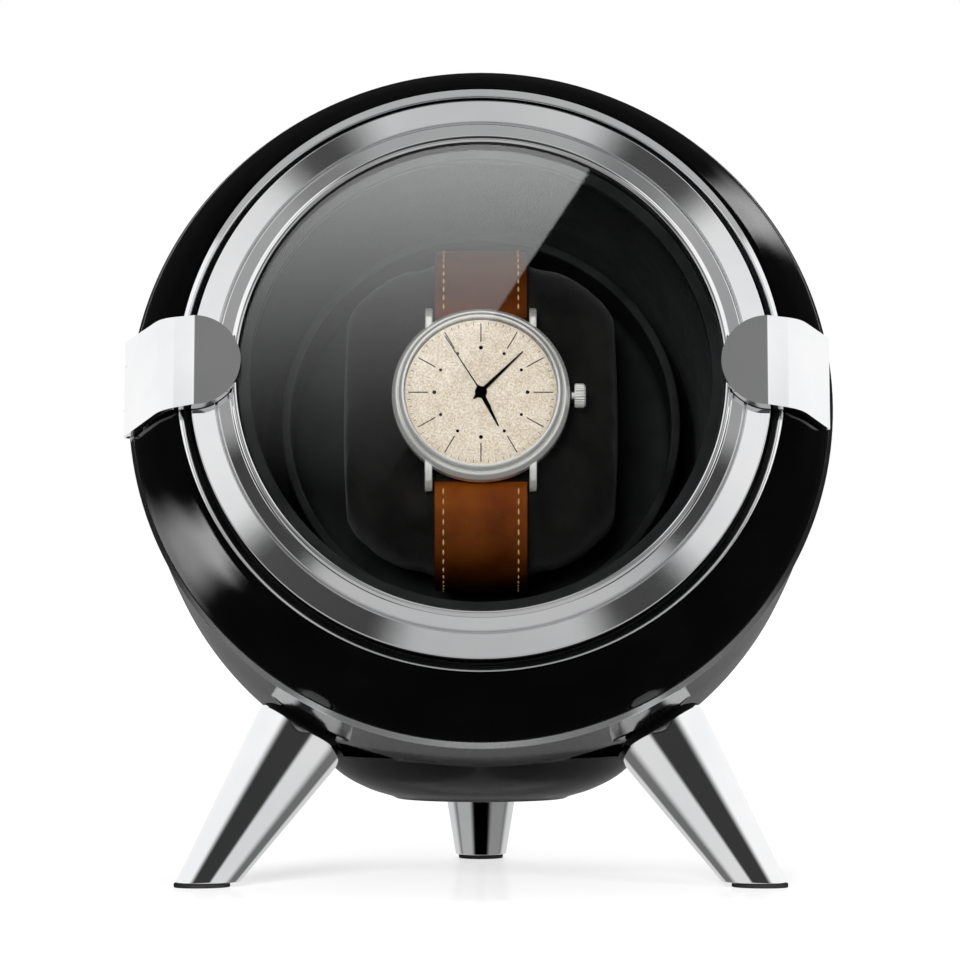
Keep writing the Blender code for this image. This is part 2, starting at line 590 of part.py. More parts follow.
def strap_outline(start, end):
    """A stretch of the loop round the cushion, between two angles in degrees."""
    steps = 14
    half = STRAP_THICKNESS / 2
    turns = [math.radians(start + (end - start) * i / steps) for i in range(steps + 1)]
    outer = [superellipse(STRAP_HEIGHT + half, STRAP_DEPTH + half, t, LOOP_CENTRE) for t in turns]
    inner = [superellipse(STRAP_HEIGHT - half, STRAP_DEPTH - half, t, LOOP_CENTRE) for t in turns]
    return outer + inner[::-1]


def make_strap(watch, look):
    upper = prism(strap_outline(63, -82), -STRAP_WIDTH, STRAP_WIDTH, "x")
    lower = prism(strap_outline(117, 262), -STRAP_WIDTH, STRAP_WIDTH, "x")
    make_object("strap_upper", upper, look["strap_leather"], watch)
    make_object("strap_lower", lower, look["strap_leather"], watch)
    back = LOOP_CENTRE - STRAP_DEPTH
    frame = block((-12.0, -4.6, back - 0.9), (12.0, 4.6, back + 0.9))
    buckle = make_object("buckle", frame, look["steel"], watch)
    window = block((-9.9, -3.2, back - 3), (9.9, 3.2, back + 3))
    combine(buckle, make_object("buckle_window", window, None, watch), "DIFFERENCE")


def make_watch_case(watch, look):
    profile = [
        (0, CASE_BACK),
        (15.5, CASE_BACK),
        (18.4, 6.4),
        (CASE_RADIUS, 7.4),
        (CASE_RADIUS, 10.2),
        (17.8, 12.2),
        (16.9, CASE_FRONT),
        (16.4, CASE_FRONT),
        (16.4, DIAL_FLOOR),
        (0, DIAL_FLOOR),
    ]
    case = make_object("watch_case", lathe(profile, 32), look["steel"], watch)
    lug_side = [(14.0, 5.4), (14.0, 9.8), (18.0, 9.3), (20.6, 7.8), (21.8, 5.6), (21.0, 4.4)]
    for up in (1, -1):
        for across in (1, -1):
            low, high = sorted((across * LUG_INNER, across * LUG_OUTER))
            outline = [(up * y, z) for y, z in lug_side]
            lug = make_object(f"lug_{up + 1}{across + 1}", prism(outline, low, high, "x"), None, watch)
            combine(case, lug, "UNION")
    make_object("watch_dial", rod(16.1, 10.5, 10.9, 32), look["dial_cream"], watch)
    pane = [(0, 12.2), (16.1, 12.2), (16.1, 12.9), (12.0, 13.5), (0, 13.8)]
    make_object("watch_crystal", lathe(pane, 32), look["glass"], watch)
    crown = [(0, 0), (0.8, 0), (0.8, 0.6), (2.6, 0.6), (2.6, 2.6), (2.2, 3.0), (0, 3.0)]
    place = (CASE_RADIUS + GAP, 0, CROWN_HEIGHT)
    make_object("crown", lathe(crown, MEDIUM), look["steel"], watch, place, (0, math.radians(90), 0))


def hand_outline(length, tail, width, hub):
    """A tapered baton with a round hub, pointing along +Y."""
    shoulder = math.degrees(math.asin(width / 2 / hub))
    right = arc((0, 0), hub, shoulder - 90, 90 - shoulder, 6)
    left = arc((0, 0), hub, 90 + shoulder, 270 - shoulder, 6)
    tip, butt = [(width / 4, length), (-width / 4, length)], [(-width / 2, -tail), (width / 2, -tail)]
    return right + tip + left + butt


def make_hands(watch, look):
    hands = {
        "hour_hand": (8.0, 2.0, 0.9, 1.25, 11.05, HOUR_TURN, look["hand_dark"]),
        "minute_hand": (12.6, 2.4, 0.8, 1.1, 11.35, MINUTE_TURN, look["hand_dark"]),
        "second_hand": (14.4, 4.5, 0.35, 0.8, 11.65, SECOND_TURN, look["hand_dark"]),
    }
    for name, (length, tail, width, hub, height, turn, colour_of) in hands.items():
        blade = prism(hand_outline(length, tail, width, hub), 0, 0.16)
        make_object(name, blade, colour_of, watch, (0, 0, height), (0, 0, -math.radians(turn)))


def main():
    clear_scene()
    look = make_materials()
    lean = (math.radians(90 - TILT), 0, 0)
    head = make_frame("head", (0, SEAM_Y, SEAM_Z), lean)
    ball = make_frame("ball", ball_place(), (0, 0, 0))
    hinge = make_frame("hinge", (HINGE_X, BRACKET_Y, HINGE_HEIGHT), (0, 0, 0), head)
    watch = make_frame("watch", (0, 0, 0), (0, 0, 0), head)
    make_front_shell(head, look)
    make_seam_and_mouth(head, look)
    make_rear_shell(head, ball, look)
    for side in LEG_TURNS:
        make_leg(side, ball, look)
    make_interior(head, look)
    make_bridge(head, look)
    make_drive(head, look)
    make_back_panel(head, look)
    make_controls(head, look)
    make_door(hinge, look)
    make_hinge_arm(hinge, look)
    make_pull_tab(hinge, look)
    make_hinge_fixed(head, look)
    make_cushion(watch, look)
    make_strap(watch, look)
    make_watch_case(watch, look)
    make_hands(watch, look)


main()
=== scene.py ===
"""Looks of the watch winder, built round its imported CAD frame.

Lengths are in millimetres until a piece is made. The head frame has its origin at the centre of
the seam between the shells, Z out of the window, Y up the face and X to the right. The world frame
is the CAD's: +Z up, the window towards -Y.
"""

import math

import bmesh
import bpy
import numpy as np
from mathutils import Matrix, Vector, noise


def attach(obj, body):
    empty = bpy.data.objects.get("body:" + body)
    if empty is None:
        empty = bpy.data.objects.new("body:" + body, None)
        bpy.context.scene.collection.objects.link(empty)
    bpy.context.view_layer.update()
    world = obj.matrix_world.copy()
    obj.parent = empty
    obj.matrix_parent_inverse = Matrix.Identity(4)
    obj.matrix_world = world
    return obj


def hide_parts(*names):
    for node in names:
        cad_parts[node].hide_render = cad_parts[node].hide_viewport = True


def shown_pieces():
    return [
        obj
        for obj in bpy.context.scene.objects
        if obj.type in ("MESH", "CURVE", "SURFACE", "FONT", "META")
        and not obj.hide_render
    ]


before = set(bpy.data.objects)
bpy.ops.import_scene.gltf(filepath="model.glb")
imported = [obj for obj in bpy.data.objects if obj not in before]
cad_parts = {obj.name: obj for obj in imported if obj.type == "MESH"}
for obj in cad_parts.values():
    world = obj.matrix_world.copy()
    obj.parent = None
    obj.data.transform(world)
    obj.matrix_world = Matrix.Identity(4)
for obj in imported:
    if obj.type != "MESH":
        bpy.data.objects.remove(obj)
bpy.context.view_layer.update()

MM = 0.001
SEGMENTS = 160

# The CAD's own dimensions
TILT = 16.5
SEAM_Y, SEAM_Z = -35.4, 102.8
BALL_RADIUS, BALL_SETBACK, WALL = 72.5, 37.0, 2.8
GLASS_TOP, GLASS_BOTTOM, GLASS_RADIUS = 24.2, 21.4, 51.3
HINGE_X, HINGE_HEIGHT = -74.6, 4.0
BRACKET_Y, BRACKET_WIDTH = 2.5, 9.8
KNUCKLE_SPLIT, KNUCKLE_END, GAP = 4.7, 10.2, 0.3
PANEL_FACE, PANEL_INNER = -103.0, -101.1
KNOB_X, KNOB_Y = -11.5, 4.0
ROCKER_X, ROCKER_Y, ROCKER_TILT = 10.5, 3.0, 7.0
JACK_X, JACK_Y = -2.0, -15.0
BASE_HEIGHT = 17.3
FOOT_CIRCLE = 69.0
LEG_TOP_RADIUS, LEG_FOOT_RADIUS, LEG_END = 10.4, 5.5, 74.9
LEG_TURNS = {"left": 210.0, "right": 330.0, "rear": 90.0}
LOOP_CENTRE, LOOP_POWER = -10.2, 2.6
CUSHION_HEIGHT, CUSHION_DEPTH, CUSHION_WIDTH = 33.8, 14.2, 30.0
STRAP_HEIGHT, STRAP_DEPTH, STRAP_THICKNESS, STRAP_WIDTH = 36.3, 17.2, 2.2, 9.9
CUP_RADIUS, CUP_RIM = 41.0, -12.0
MINUTE_TURN, HOUR_TURN, SECOND_TURN = 45.0, 153.75, 328.0

LEAN = math.radians(TILT)
HEAD = (
    Matrix.Translation(Vector((0, SEAM_Y, SEAM_Z)) * MM)
    @ Matrix.Rotation(math.pi / 2 - LEAN, 4, "X")
    @ Matrix.Scale(MM, 4)
)
BALL_HEIGHT = SEAM_Z - BALL_SETBACK * math.sin(LEAN)
BALL_PLACE = Vector((0, SEAM_Y + BALL_SETBACK * math.cos(LEAN), BALL_HEIGHT))
BALL = Matrix.Translation(BALL_PLACE * MM) @ Matrix.Scale(MM, 4)

# Every finish by its name, once main has made them
LOOK = {}

# The camera's place and focal length in millimetres, and its pitch in degrees
CAMERA_PLACE = (-0.2, -1538.6, 98.1)
CAMERA_PITCH, CAMERA_LENS = 0.416, 263.5


# ---------------------------------------------------------------- outlines


def arc(centre, radius, start, end, steps):
    """Points on a circle between two angles in degrees, both ends included."""
    turns = (math.radians(start + (end - start) * i / steps) for i in range(steps + 1))
    return [(centre[0] + radius * math.cos(t), centre[1] + radius * math.sin(t)) for t in turns]


def rounded(corners, radius, steps=4, closed=True):
    """An outline with each corner eased by a small curve. A third number in a corner is its own radius."""
    count = len(corners)
    points = []
    for i, corner in enumerate(corners):
        here = Vector(corner[:2])
        if not closed and i in (0, count - 1):
            points.append(tuple(here))
            continue
        before = Vector(corners[i - 1][:2]) - here
        after = Vector(corners[(i + 1) % count][:2]) - here
        ease = corner[2] if len(corner) > 2 else radius
        start = here + before.normalized() * min(ease, before.length * 0.45)
        end = here + after.normalized() * min(ease, after.length * 0.45)
        for k in range(steps + 1):
            t = k / steps
            points.append(tuple(start * (1 - t) ** 2 + here * 2 * t * (1 - t) + end * t * t))
    return points


def spline(points, steps):
    """A smooth line through every point."""
    ends = [2 * Vector(points[0]) - Vector(points[1]), 2 * Vector(points[-1]) - Vector(points[-2])]
    knots = [ends[0], *map(Vector, points), ends[1]]
    line = []
    for a, b, c, d in zip(knots, knots[1:], knots[2:], knots[3:]):
        for k in range(steps):
            t = k / steps
            bend = (2 * a - 5 * b + 4 * c - d) * t * t + (3 * b - a - 3 * c + d) * t**3
            line.append(tuple((2 * b + (c - a) * t + bend) / 2))
    return [*line, tuple(points[-1])]


def superellipse(half_u, half_v, turn, centre_v=0.0):
    """The point at an angle on a rounded box of power LOOP_POWER."""
    cos, sin = math.cos(turn), math.sin(turn)
    u = math.copysign(abs(cos) ** (2 / LOOP_POWER), cos) * half_u
    v = math.copysign(abs(sin) ** (2 / LOOP_POWER), sin) * half_v
    return u, v + centre_v


def rectangle(centre_x, centre_y, half_x, half_y):
    signs = ((-1, -1), (1, -1), (1, 1), (-1, 1))
    return [(centre_x + half_x * u, centre_y + half_y * v) for u, v in signs]


# ---------------------------------------------------------------- solids


def lathe(profile, segments=SEGMENTS, centre=(0.0, 0.0)):
    """Turns (radius, height) points about Z. A profile off the axis is closed into a ring."""
    shape = bmesh.new()
    rings = []
    for radius, height in profile:
        if radius < 1e-6:
            rings.append([shape.verts.new((*centre, height))] * segments)
            continue
        circle = arc(centre, radius, 0, 360 - 360 / segments, segments - 1)
        rings.append([shape.verts.new((x, y, height)) for x, y in circle])
    pairs = list(zip(rings, rings[1:]))
    if profile[0][0] > 1e-6:
        pairs.append((rings[-1], rings[0]))
    for first, second in pairs:
        for i in range(segments):
            j = (i + 1) % segments
            corners = list(dict.fromkeys([first[i], first[j], second[j], second[i]]))
            if len(corners) > 2:
                shape.faces.new(corners)
    return shape


def turned(profile, ease, segments=SEGMENTS, centre=(0.0, 0.0)):
    """A turned solid with the corners of its profile eased."""
    return lathe(rounded(profile, ease, closed=profile[0][0] > 0), segments, centre)


def rod(radius, low, high, segments=48, centre=(0.0, 0.0), ease=0.0):
    """A cylinder along Z, with its rims eased if an ease is given."""
    profile = [(0, low), (radius, low), (radius, high), (0, high)]
    if ease:
        return turned(profile, ease, segments, centre)
    return lathe(profile, segments, centre)


def loft(rings, capped=True):
    """Skins a list of rings of points, each with as many points."""
    shape = bmesh.new()
    loops = [[shape.verts.new(point) for point in ring] for ring in rings]
    for first, second in zip(loops, loops[1:]):
        for i in range(len(first)):
            j = (i + 1) % len(first)
            shape.faces.new((first[i], first[j], second[j], second[i]))
    if capped:
        shape.faces.new(loops[0])
        shape.faces.new(loops[-1])
    return shape


def prism(outline, low, high, across="z"):
    """Extrudes an outline along one axis. The outline's two coordinates are the other two, in order."""
    places = {
        "x": lambda u, v, w: (w, u, v),
        "y": lambda u, v, w: (u, w, v),
        "z": lambda u, v, w: (u, v, w),
    }
    return loft([[places[across](u, v, w) for u, v in outline] for w in (low, high)])


def join(*shapes):
    """All the shapes in the first, as loose parts of one mesh."""
    for other in shapes[1:]:
        mesh = bpy.data.meshes.new("joined")
        other.to_mesh(mesh)
        other.free()
        shapes[0].from_mesh(mesh)
        bpy.data.meshes.remove(mesh)
    return shapes[0]


def spin(degrees, axis):
    return Matrix.Rotation(math.radians(degrees), 4, axis)


def shift(x, y, z):
    return Matrix.Translation((x, y, z))


def moved(shape, *steps):
    for step in steps:
        bmesh.ops.transform(shape, matrix=step, verts=shape.verts)
    return shape


def boolean(shape, other, operation):
    """The exact Boolean of two shapes, as a new one."""
    helpers = []
    for item in (shape, other):
        bmesh.ops.recalc_face_normals(item, faces=item.faces)
        mesh = bpy.data.meshes.new("helper")
        item.to_mesh(mesh)
        item.free()
        helpers.append(bpy.data.objects.new("helper", mesh))
        bpy.context.scene.collection.objects.link(helpers[-1])
    cut = helpers[0].modifiers.new("boolean", "BOOLEAN")
    cut.operation, cut.solver, cut.object = operation, "EXACT", helpers[1]
    graph = bpy.context.evaluated_depsgraph_get()
    made = bmesh.new()
    made.from_mesh(helpers[0].evaluated_get(graph).to_mesh())
    for helper in helpers:
        bpy.data.objects.remove(helper, do_unlink=True)
    return made


def ease_edges(shape, width, angle=30, segments=2):
    """Bevels every edge sharper than an angle in degrees."""
    bmesh.ops.remove_doubles(shape, verts=shape.verts, dist=0.002)
    bmesh.ops.dissolve_limit(shape, angle_limit=math.radians(0.5), verts=shape.verts, edges=shape.edges)
    limit = math.radians(angle)
    sharp = [e for e in shape.edges if len(e.link_faces) == 2 and e.calc_face_angle(0) > limit]
    bmesh.ops.bevel(
        shape, geom=sharp, offset=width, segments=segments, profile=0.5, affect="EDGES", clamp_overlap=True
    )
    return shape


def make_piece(name, shape, finish, body, nodes=(), slot=None, matrix=HEAD, sharp=35):
    """A shape in millimetres becomes a piece that rides on a body and stands for CAD nodes.

    Its material slot holds its finish; the slot argument is not used.
    """
    bmesh.ops.transform(shape, matrix=matrix, verts=shape.verts)
    bmesh.ops.recalc_face_normals(shape, faces=shape.faces)
    mesh = bpy.data.meshes.new(name)
    shape.to_mesh(mesh)
    shape.free()
    mesh.shade_smooth()
    mesh.set_sharp_from_angle(angle=math.radians(sharp))
    mesh.materials.append(LOOK[finish])
    piece = bpy.data.objects.new(name, mesh)
    bpy.context.scene.collection.objects.link(piece)
    piece.modifiers.new("flat faces stay flat", "WEIGHTED_NORMAL").keep_sharp = True
    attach(piece, body)
    if nodes:
        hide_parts(*nodes)
        slot = slot or finish
    return piece


# ---------------------------------------------------------------- materials


def add(tree, kind, inputs=(), **settings):
    """A shader node of a kind with its settings, and its inputs linked or set."""
    made = tree.nodes.new("ShaderNode" + kind)
    for key, value in settings.items():
        setattr(made, key, value)
    for key, value in dict(inputs).items():
        if isinstance(value, bpy.types.NodeSocket):
            tree.links.new(value, made.inputs[key])
        else:
            made.inputs[key].default_value = value
    return made


def socket(material, name):
    return material.node_tree.nodes["Principled BSDF"].inputs[name.replace("_", " ")]


def new_finish(name, **constants):
    """A Principled material with its even values set on its own sockets, and its node tree."""
    made = bpy.data.materials.new(name)
    made.use_nodes = True
    for key, value in constants.items():
        socket(made, key).default_value = value
    return made, made.node_tree


def head_place(tree):
    """Positions in the head frame, in metres, so that turned marks run round the window."""
    place = add(tree, "TexCoord").outputs["Object"]
    centre, turn = (0, SEAM_Y * MM, SEAM_Z * MM), (math.pi / 2 - LEAN, 0, 0)
    back = {"Vector": place, "Location": centre, "Rotation": turn}
    return add(tree, "Mapping", back, vector_type="TEXTURE").outputs["Vector"]


def speckle(tree, scale, detail=4.0, stretch=None, place=None):
    """Noise over the object's own coordinates, with scale in waves per metre."""
    place = place or add(tree, "TexCoord").outputs["Object"]
    if stretch:
        place = add(tree, "Mapping", {"Vector": place, "Scale": stretch}).outputs["Vector"]
    inputs = {"Vector": place, "Scale": scale, "Detail": detail}
    return add(tree, "TexNoise", inputs).outputs["Fac"]


def maths(tree, operation, *values):
    """One step of arithmetic on sockets or numbers."""
    return add(tree, "Math", dict(enumerate(values)), operation=operation).outputs[0]


def turned_marks(tree, scale):
    """Fine rings round the window's axis, as a lathe or a polishing wheel leaves."""
    parts = add(tree, "SeparateXYZ", {"Vector": head_place(tree)}).outputs
    squares = [maths(tree, "MULTIPLY", parts[k], parts[k]) for k in "XY"]
    radius = maths(tree, "SQRT", maths(tree, "ADD", *squares))
    place = add(tree, "CombineXYZ", {"X": radius, "Z": parts["Z"]}).outputs[0]
    return add(tree, "TexNoise", {"Vector": place, "Scale": scale, "Detail": 3.0}).outputs["Fac"]


def spread(tree, value, low, high, start=0.3, end=0.7):
    """Maps a noise value onto a range."""
    inputs = {"Value": value, "From Min": start, "From Max": end, "To Min": low, "To Max": high}
    return add(tree, "MapRange", inputs).outputs["Result"]


def two_tone(tree, value, first, second, start=0.35, end=0.65):
    """A colour that goes from the first to the second as a noise value rises."""
    made = add(tree, "ValToRGB", {"Fac": value})
    made.color_ramp.elements[0].position, made.color_ramp.elements[1].position = start, end
    made.color_ramp.elements[0].color = (*first, 1)
    made.color_ramp.elements[1].color = (*second, 1)
    return made.outputs["Color"]


def shaded(tree, colour, shade):
    """A colour multiplied by another one, or by a value."""
    inputs = {"Factor": 1.0, 6: colour, 7: shade}
    return add(tree, "Mix", inputs, data_type="RGBA", blend_type="MULTIPLY").outputs[2]


def bump(tree, height, depth, strength=1.0, onto=None):
    """A bump of a depth in millimetres, on top of another one if it is given."""
    inputs = {"Height": height, "Distance": depth * MM, "Strength": strength}
    if onto:
        inputs["Normal"] = onto
    return add(tree, "Bump", inputs).outputs["Normal"]


def connect(material, **patterns):
    """Links patterns to the sockets of a finish, and returns it."""
    for key, value in patterns.items():
        material.node_tree.links.new(value, socket(material, key))
    return material


def piano_black():
    made, tree = new_finish("piano_black", Specular_IOR_Level=0.3)
    cloudy, haze = speckle(tree, 60), speckle(tree, 900, 6)
    return connect(
        made,
        Base_Color=two_tone(tree, cloudy, (0.0006, 0.0006, 0.0006), (0.0012, 0.0012, 0.0013)),
        Roughness=spread(tree, haze, 0.05, 0.1),
        Normal=bump(tree, speckle(tree, 400, 2), 0.004),
    )


def chrome():
    made, tree = new_finish("chrome", Metallic=1.0)
    cloudy, wiped = speckle(tree, 50), speckle(tree, 500, 6, (1, 1, 8))
    return connect(
        made,
        Base_Color=two_tone(tree, cloudy, (0.86, 0.87, 0.88), (0.93, 0.93, 0.94)),
        Roughness=spread(tree, wiped, 0.03, 0.075),
        Normal=bump(tree, speckle(tree, 260, 2), 0.003),
    )


def turned_metal(name, dark, light, rough, marks, haze, depth, **constants):
    """Metal with fine rings from its lathe, and a haze that its roughness follows."""
    made, tree = new_finish(name, **{"Metallic": 1.0, **constants})
    rings = turned_marks(tree, marks)
    return connect(
        made,
        Base_Color=two_tone(tree, rings, dark, light),
        Roughness=spread(tree, speckle(tree, haze), *rough),
        Normal=bump(tree, rings, depth),
    )


def satin_silver():
    light, dark = (0.72, 0.725, 0.73), (0.58, 0.585, 0.59)
    return turned_metal("trim_silver", dark, light, (0.24, 0.36), 9000, 120, 0.006)


def steel():
    light, dark = (0.72, 0.72, 0.72), (0.55, 0.55, 0.56)
    return turned_metal("steel", dark, light, (0.14, 0.24), 12000, 300, 0.002)


def bronze():
    light, dark = (0.62, 0.42, 0.22), (0.45, 0.27, 0.12)
    return turned_metal("bronze", dark, light, (0.3, 0.42), 12000, 300, 0.002)


def dark_steel():
    light, dark = (0.05, 0.038, 0.034), (0.022, 0.016, 0.014)
    return turned_metal("hand_dark", dark, light, (0.25, 0.35), 12000, 300, 0.002)


def case_steel():
    light, dark = (0.8, 0.78, 0.75), (0.68, 0.66, 0.63)
    return turned_metal("case_steel", dark, light, (0.06, 0.14), 16000, 700, 0.001, Metallic=0.72)


def moulded_plastic(name, low, high, rough, grain=1500, depth=0.02):
    """Plastic with the fine even grain of an etched mould."""
    made, tree = new_finish(name, Specular_IOR_Level=0.4)
    fine = speckle(tree, grain, 3)
    return connect(
        made,
        Base_Color=two_tone(tree, speckle(tree, 90), low, high),
        Roughness=spread(tree, fine, *rough),
        Normal=bump(tree, fine, depth),
    )


def flock(name, low, high, scale, depth, sheen):
    """Short pile: a dark nap with brushed patches and a soft edge sheen."""
    made, tree = new_finish(name, Roughness=0.95, Specular_IOR_Level=0.15, Sheen_Weight=sheen)
    nap, patches = speckle(tree, scale, 6), speckle(tree, 110, 3)
    return connect(
        made,
        Base_Color=two_tone(tree, patches, low, high),
        Normal=bump(tree, nap, depth, onto=bump(tree, patches, depth * 4)),
    )


def leather():
    """Tanned leather, with painted shade that darkens the strap towards both ends, where it bends away over
    the cushion's edges.
    """
    made, tree = new_finish("strap_leather", Specular_IOR_Level=0.2)
    place = add(tree, "TexCoord").outputs["Object"]
    cells = {"Vector": place, "Scale": 1500.0, "Randomness": 1.0}
    pores = add(tree, "TexVoronoi", cells, feature="DISTANCE_TO_EDGE").outputs["Distance"]
    stains, fine = speckle(tree, 130, 5), speckle(tree, 2200, 4)
    leather_colour = two_tone(tree, stains, (0.075, 0.0135, 0.0006), (0.122, 0.029, 0.0018))
    # Painted shade: by height in the head frame, the colour darkens towards the strap's upper and lower
    # ends, standing in for light falling off there.
    along = add(tree, "SeparateXYZ", {"Vector": head_place(tree)}).outputs["Y"]
    above = spread(tree, along, 1, 0.4, 0.012, 0.024)
    below = spread(tree, along, 0.12, 1, -0.038, -0.023)
    painted_shade = maths(tree, "MULTIPLY", above, below)
    return connect(
        made,
        Base_Color=shaded(tree, leather_colour, painted_shade),
        Roughness=spread(tree, fine, 0.42, 0.62),
        Normal=bump(tree, spread(tree, pores, 0, 1, 0, 0.25), 0.03, onto=bump(tree, stains, 0.08)),
    )


def thread():
    made, tree = new_finish("stitch_thread", Roughness=0.8)
    twist = speckle(tree, 5000, 2, (1, 3, 1))
    return connect(
        made,
        Base_Color=two_tone(tree, twist, (0.3, 0.17, 0.07), (0.46, 0.29, 0.14)),
        Normal=bump(tree, twist, 0.04),
    )


def dial_finish():
    """Pale champagne silver with a grained surface."""
    made, tree = new_finish("dial_cream", Metallic=0.15, Specular_IOR_Level=0.4)
    grain, patches = speckle(tree, 2600, 5), speckle(tree, 420, 4)
    fine = two_tone(tree, grain, (0.6, 0.48, 0.385), (0.82, 0.7, 0.595), 0.38, 0.62)
    broad = two_tone(tree, patches, (0.9, 0.88, 0.84), (1, 1, 1))
    return connect(
        made,
        Base_Color=shaded(tree, fine, broad),
        Roughness=spread(tree, grain, 0.38, 0.55),
        Normal=bump(tree, grain, 0.02),
    )


def rubber():
    return moulded_plastic("rubber", (0.012, 0.012, 0.012), (0.022, 0.022, 0.022), (0.65, 0.8), 1100, 0.04)


def black_plastic():
    return moulded_plastic("black_plastic", (0.006, 0.006, 0.006), (0.012, 0.012, 0.0125), (0.38, 0.52))


def gear_plastic():
    return moulded_plastic("gear_plastic", (0.7, 0.68, 0.6), (0.8, 0.78, 0.72), (0.4, 0.5))


def circuit():
    return moulded_plastic("circuit", (0.012, 0.11, 0.045), (0.02, 0.17, 0.07), (0.35, 0.45))


def lining():
    return flock("lining", (0.002, 0.002, 0.0022), (0.005, 0.005, 0.0055), 2400, 0.12, 0.03)


def cushion_suede():
    return flock("cushion_suede", (0.003, 0.0026, 0.0025), (0.007, 0.0063, 0.006), 1900, 0.15, 0.05)


def clear_glass(name, base_reflection):
    """Clear glass that lets the light through and mirrors more towards its edges."""
    made = bpy.data.materials.new(name)
    made.use_nodes = True
    tree = made.node_tree
    tree.nodes.remove(tree.nodes["Principled BSDF"])
    facing = add(tree, "LayerWeight", {"Blend": 0.5}).outputs["Facing"]
    steep = maths(tree, "POWER", facing, 5.0)
    share = spread(tree, steep, base_reflection, 1.0, 0.0, 1.0)
    clear = add(tree, "BsdfTransparent", {"Color": (0.97, 0.98, 0.98, 1)}).outputs[0]
    smears = spread(tree, speckle(tree, 35, 5), 0.0, 0.012)
    mirror = add(tree, "BsdfAnisotropic", {"Color": (1, 1, 1, 1), "Roughness": smears}).outputs[0]
    both = add(tree, "MixShader", {0: share, 1: clear, 2: mirror}).outputs[0]
    tree.links.new(both, tree.nodes["Material Output"].inputs["Surface"])
    return made


def make_finishes():
    return {
        "piano_black": piano_black(),
        "chrome": chrome(),
        "trim_silver": satin_silver(),
        "glass": clear_glass("glass", 0.04),
        "crystal": clear_glass("crystal", 0.03),
        "lining": lining(),
        "black_plastic": black_plastic(),
        "rubber": rubber(),
        "steel": steel(),
        "case_steel": case_steel(),
        "bronze": bronze(),
        "gear_plastic": gear_plastic(),
        "circuit": circuit(),
        "cushion_suede": cushion_suede(),
        "strap_leather": leather(),
        "stitch_thread": thread(),
        "dial_cream": dial_finish(),
        "hand_dark": dark_steel(),
    }


# ---------------------------------------------------------------- body


def ball_arc(radius, first_height, last_height, steps):
    """Profile points on a ball centred behind the seam, from one height to another."""
    start = math.degrees(math.asin((first_height + BALL_SETBACK) / radius))
    end = math.degrees(math.asin((last_height + BALL_SETBACK) / radius))
    return arc((0, -BALL_SETBACK), radius, start, end, steps)


def make_front_shell():
    side = spline([(74.4, 3.1), (73.5, 6.2), (71.6, 10.5), (68.8, 16.0), (65.2, 21.4)], 6)
    lip = rounded([(65.2, 21.4), (64.4, 22.0), (64.4, 19.4)], 0.4, closed=False)[1:]
    inner = [(58.2, 19.4), (58.2, 17.6), (63.6, 17.6), (68.4, 10.0), (71.3, 1.3), (73.6, 1.3), (73.6, 3.1)]
    shell = lathe(side + lip + inner, 192)
    seat = moved(rod(4.3, -2.2, 6.0), *magnet_turn())
    shell = boolean(shell, join(hinge_pocket(), seat), "DIFFERENCE")
    make_piece("shell_front", shell, "piano_black", "housing", ["front_shell"])
    magnet = moved(rod(4.0, -1.9, -0.1, ease=0.3), *magnet_turn())
    make_piece("magnet", magnet, "steel", "housing", ["latch_magnet"])


def hinge_pocket():
    corners = [(-79.0, 1.0), (-72.4, 1.0), (-71.8, 4.0), (-68.0, 12.5), (-74.0, 15.5), (-79.0, 15.5)]
    return prism(corners, BRACKET_Y - 10.6, BRACKET_Y + 10.6, "y")


def magnet_turn():
    """The steps that lay the latch magnet square to the shell under the pull tab."""
    return spin(62, "Y"), shift(70.6, BRACKET_Y, 12.0)


def make_rings():
    mouth = [(62.1, 19.7), (64.2, 19.7), (64.2, 22.1), (62.1, 20.6)]
    mouth = turned(mouth, 0.06, 192)
    make_piece("mouth_trim", mouth, "chrome", "housing", ["mouth_ring"], "trim_silver")
    seal = turned([(58.7, 19.7), (61.2, 19.7), (61.0, 20.3), (58.9, 20.3)], 0.2)
    make_piece("door_seal", seal, "rubber", "housing", ["door_gasket"])
    trim = [(71.8, -0.9), (74.9, -0.9, 0.2), (75.3, -0.4, 0.3), (75.3, 0.5, 0.3), (74.6, 2.9, 0.2)]
    trim += [(73.9, 2.9, 0.1), (73.9, 1.0, 0.1), (71.8, 1.0)]
    trim = boolean(turned(trim, 0.1, 192), hinge_pocket(), "DIFFERENCE")
    make_piece("seam_trim", trim, "trim_silver", "housing", ["trim_ring"])


def leg_steps(side):
    """The steps that point a shape's Z from the ball's centre down one leg."""
    splay = math.atan2(FOOT_CIRCLE, BALL_HEIGHT)
    about = spin(LEG_TURNS[side], "Z")
    return Matrix.Rotation(math.pi - splay, 4, "Y"), about


